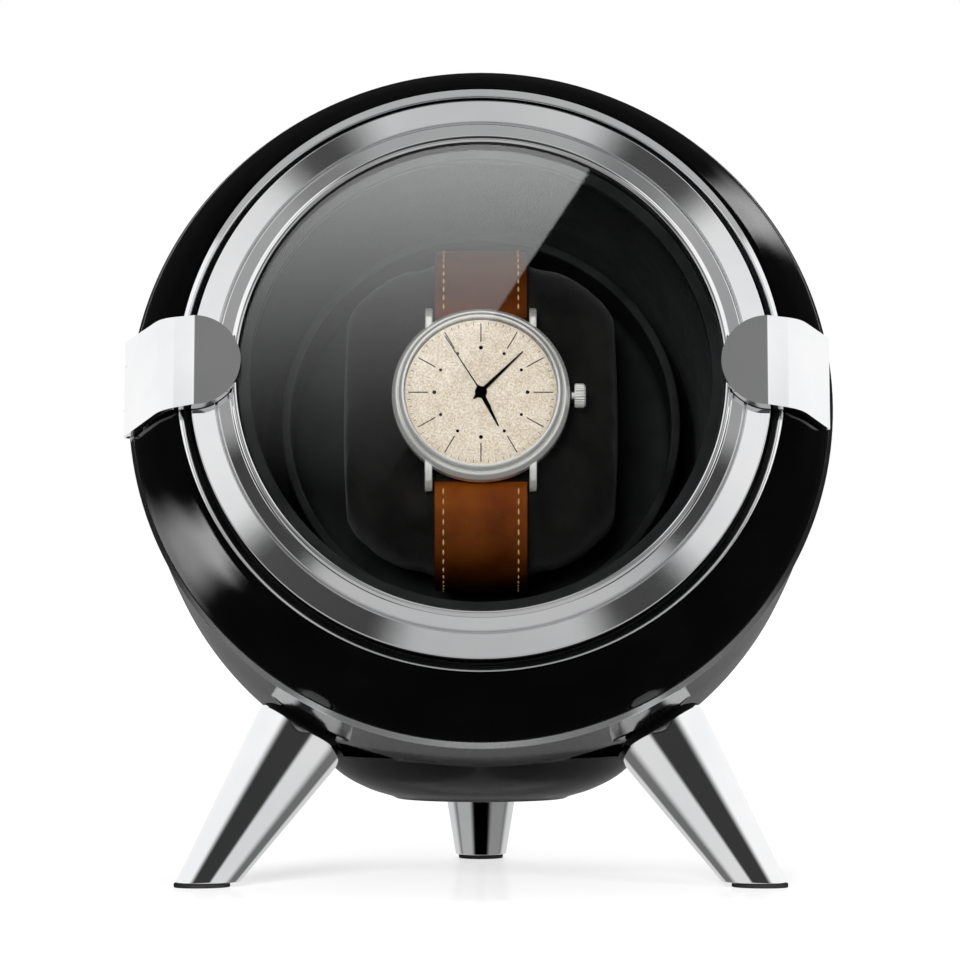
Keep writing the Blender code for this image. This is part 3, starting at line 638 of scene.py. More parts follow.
def make_rear_shell():
    outline = rounded([(71.6, -1.2), (74.6, -1.2), (73.8, -14.0)], 0.3, closed=False)[:-1]
    outline += spline([(74.45, -4.0), (73.9, -14.0), (73.25, -27.0), (72.6, -37.0), (71.9, -46.0)], 5)
    outline += ball_arc(BALL_RADIUS, -48.5, PANEL_FACE, 32)
    opening = [(28.2, PANEL_FACE), (28.2, -100.8), (22.5, -100.8), (22.5, -98.6)]
    inner = ball_arc(BALL_RADIUS - WALL, -98.6, -48.5, 12)
    ledge = [(62.5, -44.5), (62.5, -41.8), (69.6, -41.8), (70.8, -14.0)]
    shell = lathe(outline + opening + inner + ledge, 192)
    to_ball = HEAD.inverted() @ BALL
    drop = BASE_HEIGHT - BALL_HEIGHT
    flare = spline([(19.3, drop + 0.5), (24.6, drop + 2.2), (30.2, drop + 5.2), (35.5, drop + 10.0)], 6)
    foot = lathe([(0, drop), *arc((18.0, drop + 1.6), 1.6, -90, -55, 5), *flare, (0, drop + 10.0)], 128)
    front, back = -20.0, -98.6
    core = ball_arc(BALL_RADIUS - WALL / 2, -BALL_SETBACK, back, 24)
    room = lathe([(0, front), (72.0, front), *core, (0, back)], 128)
    foot = boolean(moved(foot, to_ball), room, "DIFFERENCE")
    shell = boolean(shell, foot, "UNION")
    holes = [moved(rod(3.3, 60, 80), *leg_steps(side), to_ball) for side in LEG_TURNS]
    shell = boolean(shell, join(*holes), "DIFFERENCE")
    make_piece("shell_rear", shell, "piano_black", "housing", ["rear_shell"], sharp=28)


def make_leg(side):
    foot_end = math.hypot(FOOT_CIRCLE, BALL_HEIGHT)
    slope = (LEG_TOP_RADIUS - LEG_FOOT_RADIUS) / (foot_end - LEG_END)
    past, stud, sunk = 8.0, 3.0, 10.5
    shoulder = [(stud, LEG_END), (7.6, LEG_END, 0.2), (7.9, LEG_END - 1.0, 0.2)]
    shoulder += [(LEG_TOP_RADIUS - 0.2, LEG_END - 1.1, 0.4), (LEG_TOP_RADIUS, LEG_END + 0.9, 0.5)]
    tip = [(LEG_FOOT_RADIUS - slope * past, foot_end + past), (0, foot_end + past)]
    stub = [(0, LEG_END - sunk), (stud, LEG_END - sunk)]
    shape = moved(turned([*stub, *shoulder, *tip], 0.15, 128), *leg_steps(side))
    sole = 1.0 - BALL_HEIGHT
    everything = shape.verts[:] + shape.edges[:] + shape.faces[:]
    cut = bmesh.ops.bisect_plane(
        shape, geom=everything, plane_co=(0, 0, sole), plane_no=(0, 0, -1), clear_outer=True
    )
    rim = [edge for edge in cut["geom_cut"] if isinstance(edge, bmesh.types.BMEdge)]
    bmesh.ops.contextual_create(shape, geom=rim)
    bmesh.ops.bevel(shape, geom=rim, offset=0.25, segments=2, profile=0.5, affect="EDGES")
    make_piece(f"tapered_leg_{side}", shape, "chrome", "housing", [f"leg_{side}"], matrix=BALL)
    washer = turned([(3.4, 72.2), (7.1, 72.2), (7.2, 74.8), (3.4, 74.8)], 0.15, 64)
    washer = moved(washer, *leg_steps(side))
    make_piece(f"soft_washer_{side}", washer, "rubber", "housing", [f"leg_washer_{side}"], matrix=BALL)
    pad = rod(LEG_FOOT_RADIUS - 0.45, 0.0, 1.0, 64, ease=0.25)
    stretch = Matrix.Scale(1 / math.cos(math.atan2(FOOT_CIRCLE, BALL_HEIGHT)), 4, (1, 0, 0))
    spot = shift(FOOT_CIRCLE, 0, -BALL_HEIGHT)
    pad = moved(pad, stretch, spot, spin(LEG_TURNS[side], "Z"))
    make_piece(f"rubber_foot_{side}", pad, "rubber", "housing", [f"foot_pad_{side}"], matrix=BALL)


# ---------------------------------------------------------------- inside


def make_well():
    throat = [(56.8, 17.3), (63.0, 17.3), (63.0, 16.2), (57.8, 16.0), (48.0, -35.5)]
    throat += [(6.0, -35.5), (6.0, -34.0), (46.5, -34.0, 2.5)]
    make_piece("velvet_well", turned(throat, 0.3), "lining", "housing", ["liner"])
    cup = [(0, -29.3), (40.0, -29.3, 2.0), (CUP_RADIUS, -27.5, 1.0), (CUP_RADIUS, CUP_RIM, 0.6)]
    cup += [(43.0, CUP_RIM, 0.6), (43.0, -29.0, 1.5), (CUP_RADIUS, -31.5, 1.0), (0, -31.5)]
    cup = turned(cup, 0.3)
    make_piece("turning_cup", cup, "black_plastic", "rotor", ["rotor_cup"])


def phillips_screw(name, head_radius, head_height, reach, node, steps, matrix=HEAD):
    """A pan-head screw whose head's underside is at the origin, pointing down its own -Z."""
    head = arc((0, 0), 1, 90, 15, 6)
    crown = [(x * head_radius, head_height * (0.35 + 0.65 * y)) for x, y in head]
    shank = [(head_radius, 0), (head_radius * 0.5, 0), (head_radius * 0.5, -reach), (0, -reach)]
    shape = lathe([*crown, *shank], 40)
    arm, deep = head_radius * 0.62, head_height * 0.55
    sizes = ((arm, 0.22), (0.22, arm))
    slots = [prism(rectangle(0, 0, a, b), head_height - deep, head_height + 1) for a, b in sizes]
    cross = boolean(*slots, "UNION")
    shape = moved(boolean(shape, cross, "DIFFERENCE"), *steps)
    make_piece(name, shape, "steel", "housing", [node], matrix=matrix)


def make_back_panel():
    disc = [(0, PANEL_INNER), (27.9, PANEL_INNER), (27.9, PANEL_FACE, 0.5), (26.9, PANEL_FACE, 0.1)]
    disc += [(26.6, PANEL_FACE + 0.3, 0.1), (0, PANEL_FACE + 0.3)]
    panel = turned(disc, 0.2)
    below, above = PANEL_FACE - 4, PANEL_INNER + 4
    cutters = [
        rod(3.2, below, above, centre=(KNOB_X, KNOB_Y)),
        rod(5.9, below, above, centre=(JACK_X, JACK_Y)),
        prism(rounded(rectangle(ROCKER_X, ROCKER_Y, 6.8, 9.8), 0.8), below, above),
    ]
    spots = [arc((0, 0), 25.2, turn, turn, 1)[0] for turn in (90, 210, 330)]
    cutters += [rod(1.4, below, above, 24, spot) for spot in spots]
    panel = boolean(panel, join(*cutters), "DIFFERENCE")
    make_piece("back_panel", panel, "black_plastic", "housing", ["rear_panel"])
    for i, spot in enumerate(spots):
        steps = (spin(180, "X"), shift(*spot, PANEL_FACE + 0.28))
        phillips_screw(f"panel_fixing_{i + 1}", 2.0, 1.2, 2.2, f"panel_screw_{i + 1}", steps)


def fluted(radius, depth, flutes, steps=4):
    """A circle with shallow grip flutes."""
    count = flutes * steps
    turns = [2 * math.pi * i / count for i in range(count)]
    radii = [radius - depth * (0.5 + 0.5 * math.cos(flutes * t)) for t in turns]
    return [(r * math.cos(t), r * math.sin(t)) for r, t in zip(radii, turns)]


def make_controls():
    spot = shift(KNOB_X, KNOB_Y, 0)
    levels = [(7.7, -103.5, 0.0), (8.0, -103.9, 0.25), (8.0, -108.6, 0.25)]
    levels += [(7.7, -109.6, 0.18), (7.0, -110.4, 0.0)]
    grip = loft([[(x, y, z) for x, y in fluted(r, d, 30)] for r, z, d in levels])
    stem = rod(2.4, -103.6, -95.5, 32)
    pointer = prism(rectangle(0, 4.6, 0.45, 2.2), -110.65, -110.3)
    knob = moved(join(grip, stem), spot)
    make_piece("fluted_knob", knob, "black_plastic", "knob", ["mode_knob"])
    make_piece("knob_pointer", moved(pointer, spot), "trim_silver", "knob", slot="trim_silver")
    body = prism(rectangle(ROCKER_X, ROCKER_Y, 6.4, 9.4), -104.0, -92.0)
    flange = prism(rounded(rectangle(ROCKER_X, ROCKER_Y, 7.5, 10.5), 1.0), -104.6, -103.3)
    frame_shape = boolean(body, flange, "UNION")
    recess = prism(rectangle(ROCKER_X, ROCKER_Y, 5.4, 8.8), -106.0, -99.0)
    frame_shape = ease_edges(boolean(frame_shape, recess, "DIFFERENCE"), 0.2)
    make_piece("rocker_frame", frame_shape, "black_plastic", "housing", ["switch_housing"])
    paddle = [(-8.2, -1.2), (8.2, -1.2), (8.2, 1.9), *arc((0, 13.6), 12.4, -48, -132, 12), (-8.2, 1.9)]
    paddle = ease_edges(prism(paddle, -5.0, 5.0, "x"), 0.3)
    turn = spin(180 + ROCKER_TILT, "X")
    paddle = moved(paddle, turn, shift(ROCKER_X, ROCKER_Y, PANEL_FACE))
    make_piece("rocker_key", paddle, "black_plastic", "rocker", ["power_rocker"])
    inside = [(0, -103.0), (1.0, -103.0, 0.4), (1.0, -95.0), (3.2, -95.0), (3.2, -104.4, 0.3)]
    outside = [(6.5, -104.4, 0.6), (6.5, -103.3), (5.5, -103.3), (5.5, -92.0), (0, -92.0)]
    jack = turned([*inside, *outside], 0.15, 64, (JACK_X, JACK_Y))
    make_piece("power_inlet", jack, "black_plastic", "housing", ["dc_jack"])


# ---------------------------------------------------------------- door and hinge


def make_door():
    ring = [
        (51.6, 18.5),
        (55.4, 18.5),
        (56.2, 20.7),
        (59.2, 20.7),
        (61.5, 22.0, 0.2),
        (61.5, 22.55, 0.25),
        (56.35, 23.55, 0.2),
        (56.2, 22.95, 0.1),
        (55.95, 22.95, 0.1),
        (55.8, 23.65, 0.2),
        (52.9, 24.05, 0.3),
        (52.3, 24.45, 0.4),
        (51.6, 24.3, 0.2),
    ]
    ring = turned(ring, 0.1, 224)
    make_piece("door_bezel", ring, "chrome", "door", ["door_ring"], sharp=25)
    pane = [(0, GLASS_BOTTOM), (GLASS_RADIUS, GLASS_BOTTOM), (GLASS_RADIUS, GLASS_TOP, 0.3), (0, GLASS_TOP)]
    pane = turned(pane, 0.1, 192)
    make_piece("door_pane", pane, "glass", "door", ["door_glass"])
    back = turned([(48.8, 18.8), (51.3, 18.8), (51.3, 21.1), (48.8, 21.1)], 0.3)
    make_piece("pane_retainer", back, "black_plastic", "door", ["glass_retainer"])


def bracket_blank(sign, reach, end_half_width, end_radius):
    """A strap seen from the front: a half round on the ring, widening to its outer end."""
    nose = arc((-60.4, BRACKET_Y), BRACKET_WIDTH, 90, -90, 48)
    ends = [(reach, BRACKET_Y + side * end_half_width, end_radius) for side in (-1, 1)]
    eased = rounded([nose[-1], *ends, nose[0]], 0.3, 10, closed=False)
    return prism([(sign * x, y) for x, y in nose + eased[1:-1]], 0, 30)


def make_hinge_arm():
    top = [(-76.1, 4.6, 0.6), (-67.5, 23.2, 3.2), (-60.4, 26.5, 0.25), (-50.0, 26.3)]
    under = [(-50.0, 24.9), (-57.2, 23.8), (-61.5, 23.0), (-65.2, 23.0, 0.3), (-66.5, 21.9, 0.4)]
    side = rounded([*under, (-74.2, 5.2), (-73.9, 2.8), (-75.8, 2.9, 0.3), *top], 0.05, 5)
    strip = prism(side, BRACKET_Y - 12, BRACKET_Y + 12, "y")
    arm = ease_edges(boolean(strip, bracket_blank(1, -78, 10.6, 0.6), "INTERSECT"), 0.3)
    inner = KNUCKLE_SPLIT + GAP
    hinge_place = shift(HINGE_X, BRACKET_Y, HINGE_HEIGHT)
    to_hinge = (spin(90, "X"), hinge_place)
    spans = ((inner, KNUCKLE_END), (-KNUCKLE_END, -inner))
    knuckles = [rod(1.5, low, high, 40, ease=0.2) for low, high in spans]
    arm = boolean(arm, moved(join(*knuckles), *to_hinge), "UNION")
    room = boolean(rod(0.95, -20, 20, 32), rod(2.1, -inner, inner, 40), "UNION")
    arm = boolean(arm, moved(room, *to_hinge), "DIFFERENCE")
    make_piece("hinge_strap", arm, "chrome", "door", ["hinge_arm"])
    leaf_side = [(0.3, -0.9), (1.8, -0.6), (2.4, 0.0), (6.2, 8.4, 0.3), (5.3, 8.8, 0.3), (1.2, 0.9)]
    leaf = prism(rounded(leaf_side, 0.1), -KNUCKLE_SPLIT, KNUCKLE_SPLIT, "y")
    leaf = moved(leaf, hinge_place)
    leaf = boolean(leaf, moved(rod(1.5, -KNUCKLE_SPLIT, KNUCKLE_SPLIT, 40), *to_hinge), "UNION")
    leaf = boolean(leaf, moved(rod(0.95, -20, 20, 32), *to_hinge), "DIFFERENCE")
    make_piece("hinge_plate", leaf, "chrome", "housing", ["hinge_leaf"])
    pin = moved(rod(0.75, -KNUCKLE_END, KNUCKLE_END, 32, ease=0.15), *to_hinge)
    make_piece("pivot_pin", pin, "steel", "housing", ["hinge_pin"])
    for i, offset in enumerate((-2.5, 2.5)):
        spot = shift(HINGE_X + 3.17, BRACKET_Y + offset, HINGE_HEIGHT + 5.34)
        steps = (spin(-65, "Y"), spot)
        phillips_screw(f"hinge_fixing_{i + 1}", 1.2, 0.45, 1.9, f"hinge_screw_{i + 1}", steps)


def make_pull_tab():
    side = [(50.0, 24.9), (57.2, 23.8), (61.5, 23.0), (65.2, 23.0, 0.3), (66.5, 21.9, 0.4), (73.0, 8.2)]
    side += [(74.3, 8.5, 0.4), (67.5, 23.2, 3.2), (60.4, 26.5, 0.25), (50.0, 26.3)]
    strip = prism(rounded(side, 0.05, 5), BRACKET_Y - 12, BRACKET_Y + 12, "y")
    tab = ease_edges(boolean(strip, bracket_blank(-1, -76, 10.2, 3.0), "INTERSECT"), 0.3)
    make_piece("opening_tab", tab, "chrome", "door", ["pull_tab"])


# ---------------------------------------------------------------- watch


def cushion_start():
    """The pillow before it is blown up: a rounded box a little smaller than it ends."""
    shares = [math.sin(math.pi / 2 * (i / 14 - 1)) for i in range(29)]
    rings = []
    for share in shares:
        size = 0.96 * (1 - 0.3 * abs(share) ** 5)
        turns = [2 * math.pi * i / 56 for i in range(56)]
        outline = [superellipse(CUSHION_HEIGHT * size, CUSHION_DEPTH * size, t) for t in turns]
        rings.append([(share * (CUSHION_WIDTH - 1.2), y, z + LOOP_CENTRE) for y, z in outline])
    return loft(rings)


def blow_up(mesh_object):
    """Runs cloth with air pressure for a few frames and returns how far each point moved."""
    start = np.array([v.co for v in mesh_object.data.vertices])
    cloth = mesh_object.modifiers.new("cloth", "CLOTH")
    cloth.settings.quality = 6
    cloth.settings.use_pressure = True
    cloth.settings.uniform_pressure_force = 4.0
    cloth.settings.tension_stiffness = 25.0
    cloth.settings.compression_stiffness = 25.0
    cloth.settings.bending_stiffness = 1.0
    cloth.settings.effector_weights.gravity = 0.0
    frames = 20
    cloth.point_cache.frame_start, cloth.point_cache.frame_end = 1, frames
    scene = bpy.context.scene
    for number in range(1, frames + 1):
        scene.frame_set(number)
    graph = bpy.context.evaluated_depsgraph_get()
    end = np.array([v.co for v in mesh_object.evaluated_get(graph).to_mesh().vertices])
    mesh_object.modifiers.remove(cloth)
    scene.frame_set(1)
    return start, end - start


def settle_cushion(points):
    """Sets points in millimetres round the strap that squeezes them, and clear of cup and case."""
    for point in points:
        x, y, z = point
        depth = z - LOOP_CENTRE
        turn = math.atan2(depth / STRAP_DEPTH, y / STRAP_HEIGHT)
        power = LOOP_POWER
        size = (abs(y / STRAP_HEIGHT) ** power + abs(depth / STRAP_DEPTH) ** power) ** (1 / power)
        squeeze = 1 / (1 + math.exp((abs(x) - 11.5) / 0.9))
        ripple = 0.012 * noise.noise(Vector((x * 0.16, turn * 4, 0))) * (1 - squeeze)
        swell = 0.035 * math.exp(-(((abs(x) - 15.5) / 4.5) ** 2))
        inside = (STRAP_HEIGHT - STRAP_THICKNESS / 2 - 0.25) / STRAP_HEIGHT
        if size > 0.7:
            seam = 0.022 * math.exp(-(((abs(x) - 24.5) / 0.55) ** 2))
            wanted = size * (1 + ripple + swell * (1 - squeeze) - seam)
            wanted = wanted * (1 - squeeze) + min(inside, 0.955) * squeeze
            y, depth = y * wanted / size, depth * wanted / size
        z = depth + LOOP_CENTRE
        if math.hypot(x, y) < 20.5:
            z = min(z, 4.3)
        if z < CUP_RIM + 1:
            reach = math.hypot(x, y)
            limit = CUP_RADIUS - 0.5
            if reach > limit:
                x, y = x * limit / reach, y * limit / reach
        point[:] = x, y, z


def make_cushion():
    cushion = make_piece("watch_pillow", cushion_start(), "cushion_suede", "watch", sharp=180)
    remesh = cushion.modifiers.new("remesh", "REMESH")
    remesh.mode, remesh.voxel_size = "VOXEL", 0.0022
    apply_modifiers(cushion)
    start, push = blow_up(cushion)
    most = 0.003
    length = np.maximum(np.linalg.norm(push, axis=1, keepdims=True), 1e-9)
    end = start + push * np.minimum(1, most / length)
    cushion.data.vertices.foreach_set("co", end.astype(np.float32).ravel())
    to_head = np.array(HEAD.inverted())
    to_world = np.array(HEAD)
    points = np.array([v.co for v in cushion.data.vertices]) @ to_head[:3, :3].T + to_head[:3, 3]
    settle_cushion(points)
    points = points @ to_world[:3, :3].T + to_world[:3, 3]
    cushion.data.vertices.foreach_set("co", points.astype(np.float32).ravel())
    smoother = cushion.modifiers.new("subdivision", "SUBSURF")
    smoother.levels = smoother.render_levels = 1
    apply_modifiers(cushion)
    cushion.data.shade_smooth()
    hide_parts("cushion")


def apply_modifiers(piece):
    graph = bpy.context.evaluated_depsgraph_get()
    mesh = bpy.data.meshes.new_from_object(piece.evaluated_get(graph))
    piece.modifiers.clear()
    finish = piece.data.materials[0]
    piece.data = mesh
    mesh.materials.clear()
    mesh.materials.append(finish)


def strap_station(turn):
    """Centre and outward direction of the strap at an angle round its loop, in the head's Y and Z."""
    nudge = 0.002
    here = Vector(superellipse(STRAP_HEIGHT, STRAP_DEPTH, turn, LOOP_CENTRE))
    ahead = Vector(superellipse(STRAP_HEIGHT, STRAP_DEPTH, turn + nudge, LOOP_CENTRE))
    behind = Vector(superellipse(STRAP_HEIGHT, STRAP_DEPTH, turn - nudge, LOOP_CENTRE))
    along = (ahead - behind).normalized()
    return here, Vector((along.y, -along.x))


def strap_turns(start, end, spacing):
    """Angles along the loop, evenly spaced in millimetres."""
    fine = np.radians(np.linspace(start, end, 600))
    places = np.array([superellipse(STRAP_HEIGHT, STRAP_DEPTH, t) for t in fine])
    run = np.concatenate([[0], np.cumsum(np.linalg.norm(np.diff(places, axis=0), axis=1))])
    count = max(2, round(run[-1] / spacing))
    return np.interp(np.linspace(0, run[-1], count + 1), run, fine)


def strap_section():
    """Half thickness and half width of the leather: crowned on top, with rounded edges."""
    half, low = STRAP_WIDTH, -STRAP_THICKNESS / 2
    top = [(x, 1.1 - 0.35 * abs(x / half) ** 3) for x in np.linspace(half, -half, 13)]
    corners = [(-half, low, 0.35), (half, low, 0.35), (top[0][0], top[0][1], 0.35), *top[1:-1]]
    return rounded([*corners, (top[-1][0], top[-1][1], 0.35)], 0.01, 3)


def make_strap(name, start, end):
    spacing = 0.8
    turns = strap_turns(start, end, spacing)
    section = strap_section()
    rings = []
    for i, turn in enumerate(turns):
        here, out = strap_station(turn)
        run = min(i, len(turns) - 1 - i) * spacing
        taper = 1 - 0.45 * max(0.0, 1 - run / 1.1) ** 2
        tuck = 0.8 * max(0.0, 1 - i * spacing / 2.4) ** 2
        rings.append([(x, *(here + out * (h * taper - tuck))) for x, h in section])
    make_piece(f"leather_{name}", loft(rings), "strap_leather", "watch", [name])
    stitches = []
    for i, turn in enumerate(strap_turns(start, end, 2.1)[1:-1]):
        here, out = strap_station(turn)
        for side in (-1, 1):
            stitch = lathe([(0, -0.8), *arc((0, 0), 0.36, -60, 60, 1), (0, 0.8)], 8)
            lie = Vector((0, out.y, -out.x)).to_track_quat("Z", "X").to_matrix().to_4x4()
            spot = here + out * (STRAP_THICKNESS / 2 - 0.12)
            stitches.append(moved(stitch, lie, shift(side * 8.0, *spot)))
    make_piece(f"stitching_{name}", join(*stitches), "stitch_thread", "watch", sharp=80)


def make_buckle():
    back = LOOP_CENTRE - STRAP_DEPTH
    outer = prism(rounded(rectangle(0, 0, 12.0, 4.6), 1.5, 6), back - 0.9, back + 0.9)
    window = prism(rounded(rectangle(0, 0, 9.9, 3.2), 0.8, 6), back - 3, back + 3)
    buckle = ease_edges(boolean(outer, window, "DIFFERENCE"), 0.25)
    make_piece("strap_buckle", buckle, "case_steel", "watch", ["buckle"], "steel")


def make_case():
    profile = [(0, 4.6), (15.5, 4.6, 0.3), (18.4, 6.4, 0.6), (19.0, 7.4, 0.5), (19.0, 9.7, 0.35)]
    profile += [(18.2, 10.9, 0.4), (17.75, 11.0, 0.1), (17.7, 10.75, 0.1), (17.5, 10.75, 0.1)]
    profile += [(17.45, 11.9, 0.2), (16.8, 12.6, 0.3), (16.4, 12.6, 0.1), (16.4, 10.2), (0, 10.2)]
    case = turned(profile, 0.15)
    side = spline([(14.0, 9.8), (16.6, 9.5), (18.6, 8.5), (19.9, 7.0), (20.4, 5.7)], 5)
    side += spline([(20.3, 5.0), (19.7, 4.6), (18.4, 5.3), (14.0, 5.6)], 4)
    for up in (1, -1):
        for low, high in ((-11.9, -10.3), (10.3, 11.9)):
            lug = ease_edges(prism([(up * y, z) for y, z in side], low, high, "x"), 0.4, 40, 3)
            case = boolean(case, lug, "UNION")
    make_piece("case_and_lugs", case, "case_steel", "watch", ["watch_case"], "steel")
    dial = turned([(0, 10.5), (16.1, 10.5), (16.1, 10.9), (0, 10.9)], 0.1)
    make_piece("grained_dial", dial, "dial_cream", "watch", ["watch_dial"])
    pane = [(0, 12.2), (16.1, 12.2), (16.1, 12.9, 0.5), *arc((0, -55.2), 69.0, 80.5, 90, 8)]
    pane = turned(pane, 0.05)
    make_piece("domed_crystal", pane, "crystal", "watch", ["watch_crystal"], "glass")


def make_dial_marks():
    """A thin line and a dot at each hour, and a fine minute track."""
    marks = []
    for hour in range(12):
        turn = spin(30 * hour, "Z")
        line = prism(rectangle(0, 13.3, 0.1, 2.1), 10.88, 10.98)
        dot = rod(0.34 if hour % 3 else 0.42, 10.88, 10.98, 20, (0, 9.9))
        marks.append(moved(join(line, dot), turn))
    for minute in range(60):
        if minute % 5:
            tick = prism(rectangle(0, 15.35, 0.05, 0.35), 10.88, 10.94)
            marks.append(moved(tick, spin(6 * minute, "Z")))
    make_piece("hour_marks", join(*marks), "hand_dark", "watch", slot="hand_dark")


def hand_outline(length, tail, width, tip):
    """A dauphine hand, widest near its root and pointed at both ends."""
    right = [(width / 2, -tail * 0.55), (width / 2, 1.2), (tip / 2, length)]
    left = [(-x, y) for x, y in reversed(right)]
    return [(0, -tail), *right, *left]


def make_hands():
    hands = {
        "hour": ("hour_hand", 8.4, 2.0, 1.0, 0.3, 1.3, 11.05, HOUR_TURN),
        "minute": ("minute_hand", 12.6, 2.4, 0.85, 0.22, 1.1, 11.35, MINUTE_TURN),
        "second": ("second_hand", 14.6, 4.5, 0.26, 0.16, 0.75, 11.65, SECOND_TURN),
    }
    for body, (node, length, tail, width, tip, hub, height, turn) in hands.items():
        blade = prism(rounded(hand_outline(length, tail, width, tip), 0.05), 0, 0.16)
        boss = rod(hub, 0.0, 0.16, 40)
        shape = moved(
            boolean(blade, boss, "UNION"),
            spin(-turn, "Z"),
            shift(0, 0, height),
        )
        make_piece(f"{body}_pointer", shape, "hand_dark", body, [node])


def make_crown():
    levels = ((2.45, 0.6), (2.6, 0.75), (2.6, 2.5), (2.4, 2.8), (2.1, 3.0))
    depths = (0.0, 0.16, 0.16, 0.1, 0.0)
    grip = loft([[(x, y, z) for x, y in fluted(r, d, 28)] for (r, z), d in zip(levels, depths)])
    shape = join(grip, rod(0.8, 0.0, 0.62, 24))
    steps = (spin(90, "Y"), shift(19.3, 0, 8.4))
    make_piece("fluted_crown", moved(shape, *steps), "case_steel", "crown", ["crown"], "steel")


# ---------------------------------------------------------------- CAD nodes that stay


def dress_hidden_nodes():
    """The drive and other inner parts keep their CAD shape and get a finish of the same kind."""
    kept = {
        "black_plastic": ["motor_plate", "bridge_plate", "selector_switch"],
        "steel": ["rotor_shaft", "gearhead", "motor_can", *(f"plate_screw_{i}" for i in (1, 2, 3))],
        "bronze": ["front_bearing", "rear_bearing"],
        "gear_plastic": ["rotor_gear", "motor_pinion"],
        "circuit": ["control_board"],
    }
    for finish, names in kept.items():
        for name in names:
            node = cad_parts[name]
            node.data.materials.clear()
            node.data.materials.append(LOOK[finish])


# ---------------------------------------------------------------- stage and light


def bare_material(name):
    """A material without any nodes yet, and its node tree."""
    made = bpy.data.materials.new(name)
    made.use_nodes = True
    made.node_tree.nodes.clear()
    return made, made.node_tree


def emission(name, strength):
    """Light whose brightness at each point is the mesh's own 'glow'."""
    made, tree = bare_material(name)
    made.cycles.emission_sampling = "NONE"
    glow = add(tree, "Attribute", attribute_name="glow").outputs["Color"]
    light = add(tree, "Emission", {"Color": glow, "Strength": strength}).outputs[0]
    clear = add(tree, "BsdfTransparent").outputs[0]
    both = add(tree, "AddShader", {0: light, 1: clear}).outputs[0]
    add(tree, "OutputMaterial", {"Surface": both})
    return made


def make_glow(name, points, faces, brightness, strength, receivers):
    """A surface of light that only its receivers mirror, and that nothing else sees."""
    mesh = bpy.data.meshes.new(name)
    mesh.from_pydata(points, [], faces)
    colours = np.ones((len(points), 4), np.float32)
    colours[:, :3] = np.asarray(brightness)[:, None]
    mesh.attributes.new("glow", "FLOAT_COLOR", "POINT").data.foreach_set("color", colours.ravel())
    mesh.materials.append(emission(name, strength))
    made = bpy.data.objects.new(name, mesh)
    bpy.context.scene.collection.objects.link(made)
    for kind in ("camera", "diffuse", "transmission", "volume_scatter", "shadow"):
        setattr(made, f"visible_{kind}", False)
    made.light_linking.receiver_collection = receivers


def rise(value, low, high):
    """A smooth rise from 0 at low to 1 at high."""
    share = np.clip((value - low) / (high - low), 0, 1)
    return share * share * (3 - 2 * share)


def between(value, low, high, soft):
    return rise(value, low - soft, low + soft) * (1 - rise(value, high - soft, high + soft))


def grid_faces(rows, columns, width):
    """Faces between rows of points, each row width long. As many columns as that close a tube."""
    corners = ((0, 0), (0, 1), (1, 1), (1, 0))
    return [
        [(row + up) * width + (column + along) % width for up, along in corners]
        for row in range(rows)
        for column in range(columns)
    ]


def make_tent(name, radius, brightness, receivers):
    """A great sphere of light. brightness takes azimuth from the front and elevation, in degrees."""
    columns, rows = 360, 180
    azimuth = np.radians(np.arange(columns) - 180.0)
    elevation = np.radians(np.linspace(-90, 90, rows + 1))
    az, el = np.meshgrid(azimuth, elevation)
    unit = np.stack([np.sin(az) * np.cos(el), -np.cos(az) * np.cos(el), np.sin(el)], -1).reshape(-1, 3)
    faces = grid_faces(rows, columns, columns)
    light = brightness(np.degrees(az).ravel(), np.degrees(el).ravel(), unit)
    centre = np.array((0, 0, 0.1))
    make_glow(name, (unit * radius + centre).tolist(), faces, light, 1.0, receivers)


def around_mirror(unit):
    """Distance and angle in degrees from the direction that the flat of the door mirrors."""
    lift = 2 * LEAN
    ahead = np.array((0, -math.cos(lift), math.sin(lift)))
    up = np.array((0, math.sin(lift), math.cos(lift)))
    away = np.degrees(np.arccos(np.clip(unit @ ahead, -1, 1)))
    angle = np.degrees(np.arctan2(unit @ up, unit[:, 0])) % 360
    return away, angle


def ring_light(azimuth, elevation, unit):
    """A white studio with black flags, as the polished door ring mirrors it."""
    side = np.abs(azimuth)
    light = 0.06 + 0.94 * rise(elevation, 19, 27)
    light = np.maximum(light, rise(side, 50, 62) * rise(elevation, -6, 0))
    light = np.where(elevation < -3, 0.75 - 0.3 * (1 - rise(side, 55, 75)), light)
    overhead = np.maximum(rise(side, 80, 92) * rise(elevation, 24, 34), rise(elevation, 60, 68))
    light = light * (1 - 0.92 * overhead)
    dark = darken(light, side, ((112, 190),), 0.08, 4)
    light = light + (dark - light) * rise(elevation, 22, 28)
    away, angle = around_mirror(unit)
    turn = np.radians(angle)
    outer = 0.52 + 0.04 * np.sin(turn) + 0.36 * np.cos(turn) ** 2
    outer = darken(outer, angle, ((42, 65), (113, 130), (214, 252), (295, 317)), 0.1, 6)
    inner = 0.32 + 0.2 * np.maximum(0, -np.sin(turn)) + 0.08 * np.maximum(0, np.sin(turn))
    inner = darken(inner, angle, ((47, 65), (116, 133)), 0.55, 5)
    inner = darken(inner, angle, ((194, 229), (317, 344)), 0.12, 4)
    light = light + (outer - light) * (1 - rise(away, 29, 33))
    light = light + (inner - light) * (1 - rise(away, 20, 22))
    return light + (0.21 - light) * (1 - rise(away, 8, 10))


def darken(light, angle, flags, share, soft):
    """Lowers the light to a share of itself between pairs of angles."""
    cover = sum(between(angle, low, high, soft) for low, high in flags)
    return light * (1 - (1 - share) * np.clip(cover, 0, 1))


